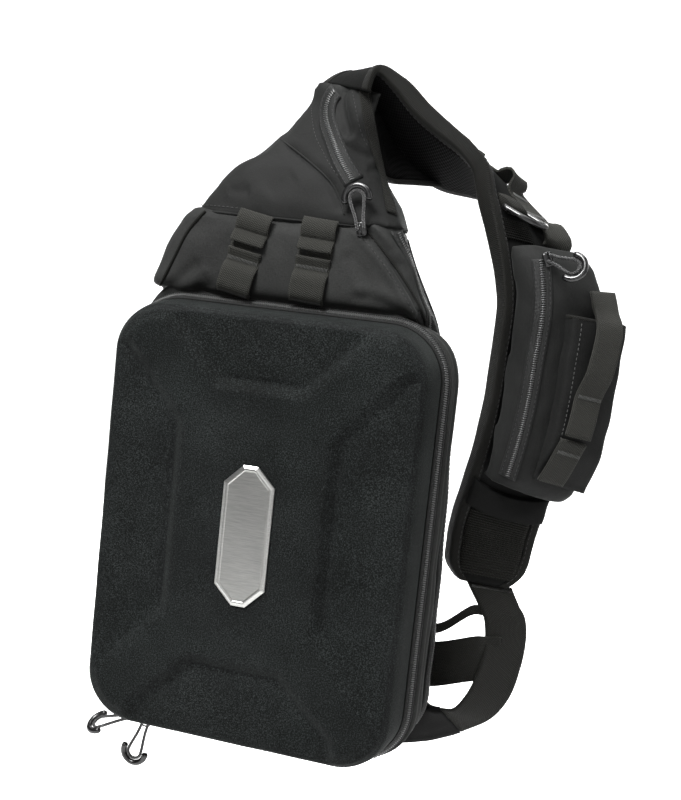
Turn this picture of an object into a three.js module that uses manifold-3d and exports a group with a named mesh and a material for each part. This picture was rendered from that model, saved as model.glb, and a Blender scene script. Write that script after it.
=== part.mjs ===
// Fishing tackle sling bag: a moulded case zipped to a soft body, hung from one padded strap.
// Millimetres: x to the viewer's right, y from the face to the wearer's back, z up.
// The whole model is shifted at the end, so that the origin is where the strap rests on the shoulder.
import * as THREE from 'three';
import { mergeVertices } from 'three/addons/utils/BufferGeometryUtils.js';
import Module from 'manifold-3d';

const wasm = await Module();
wasm.setup();

// Clearance between neighbouring pieces
const GAP = 0.3;

// Moulded case
const CASE_WIDTH = 226;
const CASE_HEIGHT = 301;
const CASE_CORNER = 38;
const CASE_X = -3.2;
const CASE_BASE = -8;
const SHELL_DEPTH = 38;
const SHELL_WALL = 3;
const SHELL_EDGE = 14;
const RELIEF_DEPTH = 3.2;
const RELIEF_SLOPE = 11;

// Plain plate on the face
const BADGE_WIDTH = 36;
const BADGE_HEIGHT = 96;
const BADGE_THICK = 2.4;
const BADGE_BEVEL = 1.6;

// Layers behind the case, from the wearer's back forward
const BACK_PAD = 8;
const MAIN_DEPTH = 27.7;
const GUSSET_DEPTH = 17.4;
const ZIP_TAPE = 7.7;
const ZIP_PROUD = 5;
const CLOTH_WALL = 2.5;

// Soft body
const BODY_WIDTH = CASE_WIDTH + 12;
const PANEL_RISE = 59;
const PANEL_PROUD = 5;
const PANEL_LEAN = 4.5;
const BODY_ROUND = 14;
const BODY_CORNER = 38;
const BODY_FOOT = 0.99;
const PANEL_INSET = 4;
const PANEL_CROWN = 3;
const WINDOW_MARGIN = 14;
const HOOD_RISE = 95.5;
const HOOD_WIDTH = 148;
const HOOD_THICK = 50;
const HOOD_WALL = 3;
const STRIP_THICK = 1.7;
const MAIN_ZIP_WIDTH = 10;
const HOOD_ZIP_WIDTH = 11;

// Webbing
const WEB_WIDTH = 25;
const WEB_THICK = 1.8;
const WIDE_WEB_WIDTH = 38;
const WIDE_WEB_THICK = 2;
const LOOP_RISE = 5;

// Shoulder strap
const STRAP_WIDTH = 70;
const STRAP_THICK = 10;
const LINING_THICK = 1.2;
const BINDING_COVER = 8;
const BINDING_THICK = 1.3;
const STRAP_REACH = 160;
const STRAP_DEEP = 32;
const STRAP_CROWN = 10;

// Pouch and pocket on the strap
const POUCH_DEPTH = 24;
const POUCH_WIDTH = 74;
const POUCH_WALL = 2;
const POCKET_DEPTH = 12;
const POCKET_WIDTH = 45;
const SHOULDER_LOOP_RISE = 9;
const ELASTIC_THICK = 2;
const HEM_THICK = 4;
const BAND_THICK = 2.2;

// Rings, pulls and cords
const RING_WIRE = 4;
const D_RING_WIDTH = 28;
const D_RING_LENGTH = 28;
const TAB_WIDTH = 17;
const TAB_LENGTH = 15;
const TAB_THICK = 1.5;
const CORD_THICK = 2.3;
const GRIP_WIRE = 4.2;
const GRIP_SPREAD = 21.4;
const SLIDER = { wide: 7, long: 10, thick: 3.2 };

// Webbing below the strap: how far it swings out beyond the body's side and back, and the wing at the
// bag's corner. Thin bands run behind the bag from its back panel to this webbing.
const FOOT_SWING = 43;
const FOOT_DEEP = 31;
const WING_THICK = 4;
const BELT_THICK = 1.8;
const BELT_HEIGHT = 34;
const BELT_LEVEL = 47;
const TIE_HEIGHT = 7;
const TIE_LEVEL = 74;

// Planes and heights that follow from the sizes above
const bodyBack = -(BACK_PAD + GAP);
const bodyFront = bodyBack - MAIN_DEPTH;
const gussetBack = bodyFront - GAP;
const gussetFront = gussetBack - GUSSET_DEPTH;
const zipBack = gussetFront - GAP;
const zipFront = zipBack - ZIP_TAPE;
const rimY = zipFront - GAP;
const faceY = rimY - SHELL_DEPTH;
const caseTop = CASE_BASE + CASE_HEIGHT;
const caseMid = CASE_BASE + CASE_HEIGHT / 2;
const shelfZ = caseTop + ZIP_PROUD + GAP;
const hemZ = shelfZ + PANEL_RISE;
const panelFoot = gussetFront - PANEL_PROUD;
const strapTop = hemZ + HOOD_RISE + STRAP_CROWN;
const outerFace = STRAP_THICK / 2;

// Materials
const paint = (color, roughness, metalness = 0) => ({ color, roughness, metalness });
const FINISH = {
  shell: paint(0x2c3130, 0.72),
  nylon: paint(0x2b2c2b, 0.78),
  mesh: paint(0x191919, 0.92),
  webbing: paint(0x2a2a26, 0.82),
  zip: paint(0x1d1d1e, 0.6),
  plastic: paint(0x121213, 0.32),
  cord: paint(0x161617, 0.55),
  badge: paint(0xb8bab9, 0.28, 0.9),
};

const group = new THREE.Group();
const V = (x, y, z) => new THREE.Vector3(x, y, z);
const radians = THREE.MathUtils.degToRad;

// Solids and meshes
function toSolid(geometry) {
  const bare = geometry.clone();
  for (const name of Object.keys(bare.attributes)) if (name !== 'position') bare.deleteAttribute(name);
  const merged = mergeVertices(bare, 1e-4);
  const mesh = new wasm.Mesh({
    numProp: 3,
    vertProperties: new Float32Array(merged.attributes.position.array),
    triVerts: new Uint32Array(merged.index.array),
  });
  return new wasm.Manifold(mesh);
}

function toGeometry(solid) {
  const mesh = solid.getMesh();
  const geometry = new THREE.BufferGeometry();
  geometry.setAttribute('position', new THREE.BufferAttribute(mesh.vertProperties, 3));
  geometry.setIndex(new THREE.BufferAttribute(mesh.triVerts, 1));
  geometry.computeVertexNormals();
  return geometry;
}

function add(name, solid, finish) {
  const mesh = new THREE.Mesh(toGeometry(solid), new THREE.MeshStandardMaterial(FINISH[finish]));
  mesh.name = name;
  group.add(mesh);
}

// Skins a row of rings into one closed solid. A ring is {points, flat}: places and their 2-D outline.
function skin(rings, closed = false) {
  const count = rings[0].points.length;
  const spans = closed ? rings.length : rings.length - 1;
  const places = rings.flatMap((ring) => ring.points);
  const index = [];
  for (let i = 0; i < spans; i++) {
    const next = (i + 1) % rings.length;
    for (let j = 0; j < count; j++) {
      const k = (j + 1) % count;
      const [a, b, c, d] = [i * count + j, i * count + k, next * count + k, next * count + j];
      const longer = places[a].distanceTo(places[c]) > places[b].distanceTo(places[d]) + 1e-6;
      index.push(...(longer ? [a, b, d, b, c, d] : [a, b, c, a, c, d]));
    }
  }
  if (!closed) {
    const faces = THREE.ShapeUtils.triangulateShape(rings[0].flat, []);
    const turn = THREE.ShapeUtils.area(rings[0].flat) > 0 ? 1 : -1;
    const last = (rings.length - 1) * count;
    for (const face of faces) {
      const flip = THREE.ShapeUtils.area(face.map((i) => rings[0].flat[i])) * turn < 0;
      const [a, b, c] = flip ? [face[0], face[2], face[1]] : face;
      index.push(a, c, b, last + a, last + b, last + c);
    }
  }
  let volume = 0;
  for (let i = 0; i < index.length; i += 3) {
    const [a, b, c] = [places[index[i]], places[index[i + 1]], places[index[i + 2]]];
    volume += a.dot(b.clone().cross(c));
  }
  if (volume < 0) index.reverse();
  const geometry = new THREE.BufferGeometry();
  const positions = places.flatMap((p) => [p.x, p.y, p.z]);
  geometry.setAttribute('position', new THREE.Float32BufferAttribute(positions, 3));
  geometry.setIndex(index);
  return toSolid(geometry);
}

// A flat outline of [u, v] pairs set at a place, along two directions
function ringAt(outline, origin, along, up) {
  const flat = outline.map(([u, v]) => new THREE.Vector2(u, v));
  const points = outline.map(([u, v]) => origin.clone().addScaledVector(along, u).addScaledVector(up, v));
  return { points, flat };
}

// Rounded rectangle, counter-clockwise, with its own radius for the upper and the lower corners
function roundedBox(left, right, low, high, lowRound, highRound = lowRound, steps = 4) {
  const corners = [
    [right - lowRound, low + lowRound, lowRound, -90],
    [right - highRound, high - highRound, highRound, 0],
    [left + highRound, high - highRound, highRound, 90],
    [left + lowRound, low + lowRound, lowRound, 180],
  ];
  const outline = [];
  for (const [u, v, radius, start] of corners) {
    for (let i = 0; i <= steps; i++) {
      const angle = radians(start + (90 * i) / steps);
      outline.push([u + radius * Math.cos(angle), v + radius * Math.sin(angle)]);
    }
  }
  return outline;
}

// Rectangle of webbing or tape seen at its end, with a corner list for a sharp section
const tapeOutline = (width, low, high) => [
  [-width / 2, low], [width / 2, low], [width / 2, high], [-width / 2, high],
];

// Smooth value between table rows: each column is interpolated along the first one
function readTable(rows, key, column, at) {
  const last = rows.length - 1;
  if (at <= rows[0][key]) return rows[0][column];
  if (at >= rows[last][key]) return rows[last][column];
  const i = rows.findIndex((row) => row[key] > at) - 1;
  const share = (at - rows[i][key]) / (rows[i + 1][key] - rows[i][key]);
  return THREE.MathUtils.lerp(rows[i][column], rows[i + 1][column], share);
}

// Round wire along points
function wire(points, thick, { closed = false, sides = 6, steps = 2 * points.length } = {}) {
  const curve = new THREE.CatmullRomCurve3(points, closed, 'centripetal');
  const frames = curve.computeFrenetFrames(steps, closed);
  const section = Array.from({ length: sides }, (_, k) => {
    const angle = (2 * Math.PI * k) / sides;
    return [(thick / 2) * Math.cos(angle), (thick / 2) * Math.sin(angle)];
  });
  const last = closed ? steps - 1 : steps;
  const rings = Array.from({ length: last + 1 }, (_, i) => (
    ringAt(section, curve.getPointAt(i / steps), frames.normals[i], frames.binormals[i])
  ));
  return skin(rings, closed);
}

// Free cord along its chosen points, which leave its ends open to the viewer
function cord(points) {
  const curve = new THREE.CatmullRomCurve3(points);
  const section = new THREE.Shape().absarc(0, 0, CORD_THICK / 2, 0, 2 * Math.PI);
  const steps = Math.max(4, Math.round(curve.getLength() / (3 * CORD_THICK)));
  return toSolid(new THREE.ExtrudeGeometry(section, {
    steps, curveSegments: 6, bevelEnabled: false, extrudePath: curve,
  }));
}

// Case outline, grown or shrunk all round, at a depth
const X = V(1, 0, 0);
const Z = V(0, 0, 1);
function caseRing(grow, y) {
  const [halfWidth, halfHeight] = [CASE_WIDTH / 2 + grow, CASE_HEIGHT / 2 + grow];
  const corner = CASE_CORNER + grow;
  const outline = roundedBox(-halfWidth, halfWidth, -halfHeight, halfHeight, corner, corner, 6);
  return ringAt(outline, V(CASE_X, y, caseMid), X, Z);
}

// Shell profile from its rim to its face: depth in shares of SHELL_DEPTH, inset of SHELL_EDGE
const SHELL_PROFILE = [
  { depth: 0.0, inset: 0.0 },
  { depth: 0.55, inset: 0.08 },
  { depth: 0.76, inset: 0.2 },
  { depth: 0.92, inset: 0.5 },
  { depth: 1.0, inset: 1.0 },
];

// Sunk fields of the relief at the top, bottom, right and left: corner places in shares of the case's
// half width and half height, in order round the field, with the two outer corners beyond the face's edge
const RELIEF_FIELDS = [
  [[0.62, 1.1], [0.545, 0.93], [0.245, 0.695], [-0.245, 0.695], [-0.545, 0.93], [-0.62, 1.1]],
  [[-0.66, -1.1], [-0.6, -0.87], [-0.265, -0.64], [0.265, -0.64], [0.6, -0.87], [0.66, -1.1]],
  [[1.1, -0.72], [0.88, -0.665], [0.53, -0.375], [0.53, 0.455], [0.88, 0.76], [1.1, 0.83]],
  [[-1.1, 0.83], [-0.88, 0.76], [-0.53, 0.455], [-0.53, -0.375], [-0.88, -0.665], [-1.1, -0.72]],
];

// Moves each corner of a convex outline out by the same distance
function grown(outline, distance) {
  return outline.map((corner, i) => {
    const before = outline[(i + outline.length - 1) % outline.length];
    const after = outline[(i + 1) % outline.length];
    const [inward, outward] = [
      new THREE.Vector2(corner[0] - before[0], corner[1] - before[1]).normalize(),
      new THREE.Vector2(after[0] - corner[0], after[1] - corner[1]).normalize(),
    ];
    const turn = Math.sign(THREE.ShapeUtils.area(outline.map(([u, v]) => new THREE.Vector2(u, v))));
    const normal = new THREE.Vector2(inward.y + outward.y, -inward.x - outward.x).multiplyScalar(turn);
    const reach = distance / Math.cos(inward.angleTo(outward) / 2);
    normal.setLength(reach);
    return [corner[0] + normal.x, corner[1] + normal.y];
  });
}

function reliefCutter(corners, behind) {
  const outline = corners.map(([u, v]) => [(u * CASE_WIDTH) / 2, (v * CASE_HEIGHT) / 2]);
  const at = (shape, y) => ringAt(shape, V(CASE_X, y, caseMid), X, Z);
  const floorY = faceY + RELIEF_DEPTH + behind;
  return skin([
    at(outline, floorY),
    at(grown(outline, RELIEF_SLOPE), floorY - RELIEF_DEPTH),
    at(grown(outline, RELIEF_SLOPE), faceY - RELIEF_DEPTH),
  ]);
}

function shellSolid(inset) {
  const rings = SHELL_PROFILE.map((row) => {
    const y = rimY - row.depth * (SHELL_DEPTH - inset) + (inset && row.depth === 0 ? 1 : 0);
    return caseRing(-row.inset * SHELL_EDGE - inset, y);
  });
  return RELIEF_FIELDS.reduce((solid, corners) => solid.subtract(reliefCutter(corners, inset)), skin(rings));
}

function makeShell() {
  add('front_shell', shellSolid(0).subtract(shellSolid(SHELL_WALL)), 'shell');
}

// Bands that run round the case: the zip's frame and the cloth gusset behind it
function caseBand(inner, outer, back, front) {
  const outside = skin([caseRing(outer, back), caseRing(outer, front)]);
  return outside.subtract(skin([caseRing(inner, back + 1), caseRing(inner, front - 1)]));
}

function makeCaseBands() {
  add('shell_zip', caseBand(-SHELL_WALL, ZIP_PROUD, zipBack, zipFront), 'zip');
  const gussetOut = ZIP_PROUD - 1;
  add('case_gusset', caseBand(gussetOut - CLOTH_WALL, gussetOut, gussetBack, gussetFront), 'nylon');
}

function makeBadge() {
  const [u, v] = [BADGE_WIDTH / 2, BADGE_HEIGHT / 2];
  const cut = BADGE_WIDTH * 0.36;
  const outline = [
    [u, -v + cut], [u, v - cut], [u - cut, v], [-u + cut, v],
    [-u, v - cut], [-u, -v + cut], [-u + cut, -v], [u - cut, -v],
  ];
  const at = (shape, y) => ringAt(shape, V(CASE_X, y, caseMid), X, Z);
  const back = faceY - GAP;
  add('badge', skin([
    at(outline, back),
    at(outline, back - BADGE_THICK + BADGE_BEVEL),
    at(grown(outline, -BADGE_BEVEL), back - BADGE_THICK),
  ]), 'badge');
}

// Soft body, in sections from its base up. rise runs 0 to 1 up to the shelf over the case, and 1 to 2
// from there to the hood's hem; left and right are shares of half the body's width.
const SHELF_STEP = 1.01;
const BODY_SECTIONS = [
  { rise: 0.12, left: 0.99, right: 1.0 },
  { rise: 0.4, left: 0.99, right: 0.99 },
  { rise: 0.66, left: 0.99, right: 0.965 },
  { rise: 0.8, left: 0.99, right: 0.935 },
  { rise: 0.885, left: 1.0, right: 0.885 },
  { rise: 0.965, left: 1.02, right: 0.815 },
  { rise: 1.0, left: 1.01, right: 0.785 },
  { rise: SHELF_STEP, left: 1.01, right: 0.78 },
  { rise: 1.27, left: 0.945, right: 0.71 },
  { rise: 1.55, left: 0.89, right: 0.635 },
  { rise: 1.82, left: 0.8, right: 0.575 },
  { rise: 2.0, left: 0.73, right: 0.54 },
];

const bodyZ = (rise) => (rise <= 1 ? THREE.MathUtils.lerp(CASE_BASE, shelfZ, rise)
  : THREE.MathUtils.lerp(shelfZ, hemZ, rise - 1));

// The front panel's plane above the shelf leans back towards the hem
const panelY = (z) => panelFoot + (PANEL_LEAN * (z - shelfZ)) / PANEL_RISE;

// One section of the body, shrunk by inset on every side
function bodyRing(z, left, right, front, inset) {
  const round = Math.max(BODY_ROUND - inset, 2);
  const outline = roundedBox(left + inset, right - inset, -bodyBack + inset, -front - inset, 3, round, 3);
  return ringAt(outline, V(0, 0, z), X, V(0, -1, 0));
}

function bodySolid(inset) {
  const half = BODY_WIDTH / 2;
  const rings = [];
  const arcSteps = 5;
  for (let i = 0; i <= arcSteps; i++) {
    const angle = radians((90 * i) / arcSteps);
    const z = CASE_BASE + inset + (BODY_CORNER - inset) * (1 - Math.cos(angle));
    const pull = (BODY_CORNER - inset) * (1 - Math.sin(angle));
    if (i < arcSteps) rings.push(bodyRing(z, -half * BODY_FOOT + pull, half - pull, bodyFront, inset));
  }
  for (const row of BODY_SECTIONS) {
    const atShelf = row.rise === 1 || row.rise === SHELF_STEP;
    const z = bodyZ(row.rise) + (atShelf ? inset : 0) - (row.rise === 2 ? inset : 0);
    const front = row.rise > 1 ? panelY(z) : bodyFront;
    rings.push(bodyRing(z, -half * row.left, half * row.right, front, inset));
  }
  return skin(rings);
}

// A block that opens the body's front or back wall: the case's outline less a margin, between two depths
function windowCutter(front, back) {
  const rightMargin = WINDOW_MARGIN + 10;
  const outline = roundedBox(
    CASE_X - CASE_WIDTH / 2 + WINDOW_MARGIN, CASE_X + CASE_WIDTH / 2 - rightMargin,
    CASE_BASE + WINDOW_MARGIN, caseTop - WINDOW_MARGIN, CASE_CORNER - WINDOW_MARGIN / 2,
  );
  return skin([ringAt(outline, V(0, back, 0), X, Z), ringAt(outline, V(0, front, 0), X, Z)]);
}

// A second opening in the back wall, over the case, that the back panel covers
function upperWindow() {
  const half = BODY_WIDTH / 2;
  const outline = roundedBox(-0.6 * half, 0.42 * half, shelfZ - 20, hemZ - WINDOW_MARGIN, 8);
  return skin([
    ringAt(outline, V(0, bodyBack + 1, 0), X, Z), ringAt(outline, V(0, bodyBack - CLOTH_WALL - 1, 0), X, Z),
  ]);
}

function makeBody() {
  const body = bodySolid(0)
    .subtract(bodySolid(CLOTH_WALL))
    .subtract(windowCutter(bodyFront - 1, bodyFront + CLOTH_WALL + 1))
    .subtract(windowCutter(bodyBack - CLOTH_WALL - 1, bodyBack + 1))
    .subtract(upperWindow());
  add('main_body', body, 'nylon');
}

// Padded panel against the wearer's back, inside the body's own outline
function backPanelSolid(grow) {
  const inset = PANEL_INSET - grow;
  const half = BODY_WIDTH / 2;
  const edgeZ = (row) => bodyZ(row.rise) - (row.rise === 2 ? inset : 0);
  const rightSide = BODY_SECTIONS.map((row) => [half * row.right - inset, edgeZ(row)]);
  const leftSide = BODY_SECTIONS.map((row) => [-half * row.left + inset, edgeZ(row)]);
  const foot = CASE_BASE + inset;
  const corner = BODY_CORNER - inset;
  const arc = (x, side) => [0, 30, 60].map((degrees) => [
    x + side * corner * Math.sin(radians(degrees)), foot + corner * (1 - Math.cos(radians(degrees))),
  ]);
  const lowRight = arc(half - inset - corner, 1);
  const lowLeft = arc(-half * BODY_FOOT + inset + corner, -1);
  const outline = [...lowRight, ...rightSide, ...leftSide.reverse(), ...lowLeft.reverse()];
  const at = (shape, y) => ringAt(shape, V(0, y, 0), X, Z);
  return skin([
    at(outline, -BACK_PAD - grow), at(outline, -PANEL_CROWN), at(shrunk(outline, PANEL_CROWN), grow),
  ]);
}

function makeBackPanel() {
  add('back_panel', backPanelSolid(0), 'mesh');
}

// Pulls an outline towards its own middle
function shrunk(outline, distance) {
  const middle = new THREE.Vector2(0, caseMid);
  return outline.map(([u, v]) => {
    const out = new THREE.Vector2(u, v).sub(middle);
    out.setLength(out.length() - distance);
    return [middle.x + out.x, middle.y + out.y];
  });
}

// Hood, in sections from its hem to the strap's fold. up is a share of HOOD_RISE; x and y are places
// in shares of half HOOD_WIDTH and of HOOD_THICK; turn is degrees from +x towards the viewer, and round
// runs from a rectangle at 0 to an ellipse at 1.
const HOOD_SECTIONS = [
  { up: 0.0, x: -0.12, y: -0.6, wide: 1.02, thick: 1.0, turn: 0, tilt: 0, round: 0.4 },
  { up: 0.15, x: -0.105, y: -0.55, wide: 0.92, thick: 0.92, turn: 0, tilt: 0, round: 0.5 },
  { up: 0.34, x: -0.1, y: -0.5, wide: 0.765, thick: 0.76, turn: 3, tilt: 0, round: 0.62 },
  { up: 0.466, x: -0.03, y: -0.44, wide: 0.64, thick: 0.6, turn: 10, tilt: -1, round: 0.72 },
  { up: 0.644, x: 0.04, y: -0.4, wide: 0.54, thick: 0.42, turn: 20, tilt: -3, round: 0.72 },
  { up: 0.828, x: 0.1, y: -0.4, wide: 0.475, thick: 0.27, turn: 32, tilt: -6, round: 0.72 },
];

const acrossAt = (turn, tilt) => V(
  Math.cos(radians(turn)) * Math.cos(radians(tilt)),
  -Math.sin(radians(turn)) * Math.cos(radians(tilt)),
  Math.sin(radians(tilt)),
);

// Section between a rectangle and an ellipse
function softOutline(halfWidth, halfThick, round) {
  const count = 20;
  const bend = (value) => Math.sign(value) * Math.abs(value) ** round;
  return Array.from({ length: count }, (_, i) => {
    const angle = (2 * Math.PI * (i + 0.5)) / count;
    return [halfWidth * bend(Math.cos(angle)), halfThick * bend(Math.sin(angle))];
  });
}

function hoodSolid(inset, rows = HOOD_SECTIONS, drop = 0) {
  const rings = rows.map((row, i) => {
    const across = acrossAt(row.turn, row.tilt);
    const out = across.clone().cross(Z).normalize();
    const base = hemZ + GAP - (i === 0 ? drop : 0);
    const place = V((row.x * HOOD_WIDTH) / 2, row.y * HOOD_THICK, base + row.up * HOOD_RISE);
    const [halfWidth, halfThick] = [(HOOD_WIDTH * row.wide) / 2, (HOOD_THICK * row.thick) / 2];
    return ringAt(softOutline(halfWidth - inset, halfThick - inset, row.round), place, across, out);
  });
  if (rows === HOOD_SECTIONS) {
    const top = strapFrame(HOOD_JOIN);
    const halfThick = outerFace + BINDING_THICK + GAP;
    const outline = softOutline(top.half - inset, halfThick - inset, HOOD_SECTIONS[5].round);
    rings.push(ringAt(outline, top.middle, top.across, top.out));
  }
  return skin(rings);
}

function makeHood() {
  const inner = hoodSolid(HOOD_WALL, HOOD_SECTIONS.slice(0, 5), 1);
  add('top_hood', hoodSolid(0).subtract(inner), 'nylon');
}

// Strips that lie on a soft form: the form grown by the strip, less the form, inside a swept block
function onForm(form, cutter) {
  return form(-GAP - STRIP_THICK).subtract(form(-GAP)).intersect(cutter);
}

// The hood's zip: places across and up in shares of half HOOD_WIDTH and of HOOD_RISE
const HOOD_ZIP_PATH = [
  { x: 0.175, up: 0.975 },
  { x: 0.06, up: 0.955 },
  { x: 0.0, up: 0.86 },
  { x: 0.015, up: 0.74 },
  { x: 0.12, up: 0.6 },
  { x: 0.26, up: 0.43 },
  { x: 0.41, up: 0.29 },
];

function makeHoodZip() {
  const points = HOOD_ZIP_PATH.map((row) => V((row.x * HOOD_WIDTH) / 2, 0, hemZ + row.up * HOOD_RISE));
  const curve = new THREE.CatmullRomCurve3(points);
  const steps = 14;
  const rings = [];
  for (let i = 0; i <= steps; i++) {
    const side = curve.getTangentAt(i / steps).cross(V(0, 1, 0)).normalize();
    const outline = tapeOutline(HOOD_ZIP_WIDTH, HOOD_THICK * 0.42, HOOD_THICK * 1.6);
    rings.push(ringAt(outline, curve.getPointAt(i / steps), side, V(0, -1, 0)));
  }
  add('hood_zip', onForm(hoodSolid, skin(rings)), 'zip');
}

// The main compartment's zip, on the body's right side: height as in BODY_SECTIONS, and the distance
// from the back in shares of the case's depth
const MAIN_ZIP_PATH = [
  { rise: 0.06, deep: 0.3 },
  { rise: 0.8, deep: 0.3 },
  { rise: 0.95, deep: 0.4 },
  { rise: 1.25, deep: 0.64 },
  { rise: 1.95, deep: 0.8 },
];

function makeMainZip() {
  const depth = -gussetFront - BACK_PAD;
  const rings = MAIN_ZIP_PATH.map((row) => {
    const middle = BACK_PAD + row.deep * depth;
    const outline = [
      [BODY_WIDTH * 0.2, middle - MAIN_ZIP_WIDTH / 2], [BODY_WIDTH, middle - MAIN_ZIP_WIDTH / 2],
      [BODY_WIDTH, middle + MAIN_ZIP_WIDTH / 2], [BODY_WIDTH * 0.2, middle + MAIN_ZIP_WIDTH / 2],
    ];
    return ringAt(outline, V(0, 0, bodyZ(row.rise)), X, V(0, -1, 0));
  });
  const besideCase = skin([caseRing(ZIP_PROUD + GAP, bodyFront + GAP), caseRing(ZIP_PROUD + GAP, faceY)]);
  add('main_zip', onForm(bodySolid, skin(rings)).subtract(besideCase), 'zip');
}

// Webbing ladders on the front panel. down runs from the hem to the shelf; out is a share of LOOP_RISE.
const LADDER_LOOPS = [
  { down: 0.02, out: 0.0 },
  { down: 0.06, out: 0.7 },
  { down: 0.18, out: 1.0 },
  { down: 0.27, out: 0.0 },
  { down: 0.31, out: 0.6 },
  { down: 0.4, out: 0.8 },
  { down: 0.44, out: 0.0 },
  { down: 0.62, out: 0.0 },
  { down: 0.68, out: 0.7 },
  { down: 0.78, out: 1.0 },
  { down: 0.9, out: 0.8 },
  { down: 0.97, out: 0.0 },
];
const LADDERS = [
  { name: 'web_ladder_left', top: -0.277, foot: -0.37 },
  { name: 'web_ladder_right', top: 0.113, foot: 0.08 },
];

function makeLadders() {
  for (const ladder of LADDERS) {
    const rings = LADDER_LOOPS.map((row) => {
      const z = hemZ - row.down * PANEL_RISE;
      const x = (BODY_WIDTH / 2) * THREE.MathUtils.lerp(ladder.top, ladder.foot, row.down);
      const lift = GAP + WEB_THICK / 2 + row.out * LOOP_RISE;
      const outline = tapeOutline(WEB_WIDTH, -WEB_THICK / 2, WEB_THICK / 2);
      return ringAt(outline, V(x, panelY(z) - lift, z), X, V(0, -1, 0));
    });
    add(ladder.name, skin(rings), 'webbing');
  }
}

// Shoulder strap: middle line in shares of STRAP_REACH, STRAP_DEEP and strapTop, with the direction
// of its width as turn and tilt in degrees, from the fold at the hood to its lower end
const STRAP_STATIONS = [
  { x: 0.046, y: -0.62, z: 0.943, turn: 32, tilt: -6, wide: 1.0 },
  { x: 0.068, y: -0.61, z: 0.979, turn: 48, tilt: -8, wide: 1.0 },
  { x: 0.125, y: -0.47, z: 1.0, turn: 58, tilt: -3, wide: 1.0 },
  { x: 0.24, y: -0.2, z: 0.968, turn: 65, tilt: 9, wide: 1.05 },
  { x: 0.36, y: -0.03, z: 0.92, turn: 69, tilt: 20, wide: 1.07 },
  { x: 0.492, y: 0.13, z: 0.888, turn: 78, tilt: 26, wide: 1.06 },
  { x: 0.616, y: 0.31, z: 0.873, turn: 89, tilt: 22, wide: 1.0 },
  { x: 0.724, y: 0.42, z: 0.856, turn: 101, tilt: 14, wide: 0.97 },
  { x: 0.814, y: 0.38, z: 0.818, turn: 117, tilt: 9, wide: 0.96 },
  { x: 0.9, y: 0.3, z: 0.775, turn: 130, tilt: 6, wide: 0.97 },
  { x: 0.976, y: 0.28, z: 0.714, turn: 138, tilt: 4, wide: 0.98 },
  { x: 1.006, y: 0.32, z: 0.668, turn: 140, tilt: 5, wide: 1.0 },
  { x: 1.0, y: 0.44, z: 0.596, turn: 140.5, tilt: 8, wide: 1.0 },
  { x: 0.984, y: 0.58, z: 0.513, turn: 140.5, tilt: 11, wide: 0.99 },
  { x: 0.952, y: 0.73, z: 0.432, turn: 142, tilt: 12.5, wide: 0.98 },
  { x: 0.911, y: 0.89, z: 0.364, turn: 144, tilt: 12.5, wide: 0.97 },
  { x: 0.885, y: 0.97, z: 0.318, turn: 146, tilt: 10.5, wide: 0.96 },
  { x: 0.874, y: 1.0, z: 0.279, turn: 146, tilt: 9, wide: 0.94 },
  { x: 0.857, y: 1.0, z: 0.231, turn: 144, tilt: 9, wide: 0.84 },
];
const HOOD_JOIN = 1;
const STRAP_START = HOOD_JOIN + 0.03;
const STRAP_END = STRAP_STATIONS.length - 1;

const strapLine = new THREE.CatmullRomCurve3(
  STRAP_STATIONS.map((row) => V(row.x * STRAP_REACH, row.y * STRAP_DEEP, row.z * strapTop)),
);
const strapTwist = new THREE.CatmullRomCurve3(
  STRAP_STATIONS.map((row) => V(row.turn, row.tilt, row.wide)),
);

// Frame of the strap at a station number: middle, width direction, outward direction and half width
function strapFrame(at) {
  const share = at / STRAP_END;
  const twist = strapTwist.getPoint(share);
  const across = acrossAt(twist.x, twist.y);
  const out = across.clone().cross(strapLine.getTangent(share)).normalize();
  return { middle: strapLine.getPoint(share), across, out, half: (twist.z * STRAP_WIDTH) / 2 };
}

// Skins outlines along the strap, with a ring at every half station in between.
// outlineAt(frame, at) gives [across, out] pairs.
function alongStrap(from, to, outlineAt, perStation = 2) {
  const stops = [from];
  for (let k = Math.floor(from * perStation) + 1; k / perStation < to; k++) {
    if (k / perStation - from > 0.05 && to - k / perStation > 0.05) stops.push(k / perStation);
  }
  stops.push(to);
  return skin(stops.map((at) => {
    const frame = strapFrame(at);
    return ringAt(outlineAt(frame, at), frame.middle, frame.across, frame.out);
  }));
}

const liningLow = -outerFace - GAP - LINING_THICK;
const bindingHigh = outerFace + GAP + BINDING_THICK;

// Places across the strap where its faces are divided, between the two bindings
function faceMarks(half) {
  const cover = half - BINDING_COVER - GAP;
  return [-1, 0, 1].map((share) => share * cover);
}

function makeStrap() {
  const bevel = 2;
  add('shoulder_strap', alongStrap(STRAP_START, STRAP_END, ({ half }) => {
    const wide = half - BINDING_THICK - GAP;
    const marks = faceMarks(half);
    return [
      [-wide, -outerFace + bevel], [-wide + bevel, -outerFace], ...marks.map((u) => [u, -outerFace]),
      [wide - bevel, -outerFace], [wide, -outerFace + bevel], [wide, outerFace - bevel],
      [wide - bevel, outerFace], ...marks.map((u) => [-u, outerFace]), [-wide + bevel, outerFace],
      [-wide, outerFace - bevel],
    ];
  }), 'nylon');
  add('strap_lining', alongStrap(STRAP_START, STRAP_END, ({ half }) => {
    const marks = faceMarks(half);
    return [...marks.map((u) => [u, liningLow]), ...marks.map((u) => [-u, -outerFace - GAP])];
  }), 'mesh');
}

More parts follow.
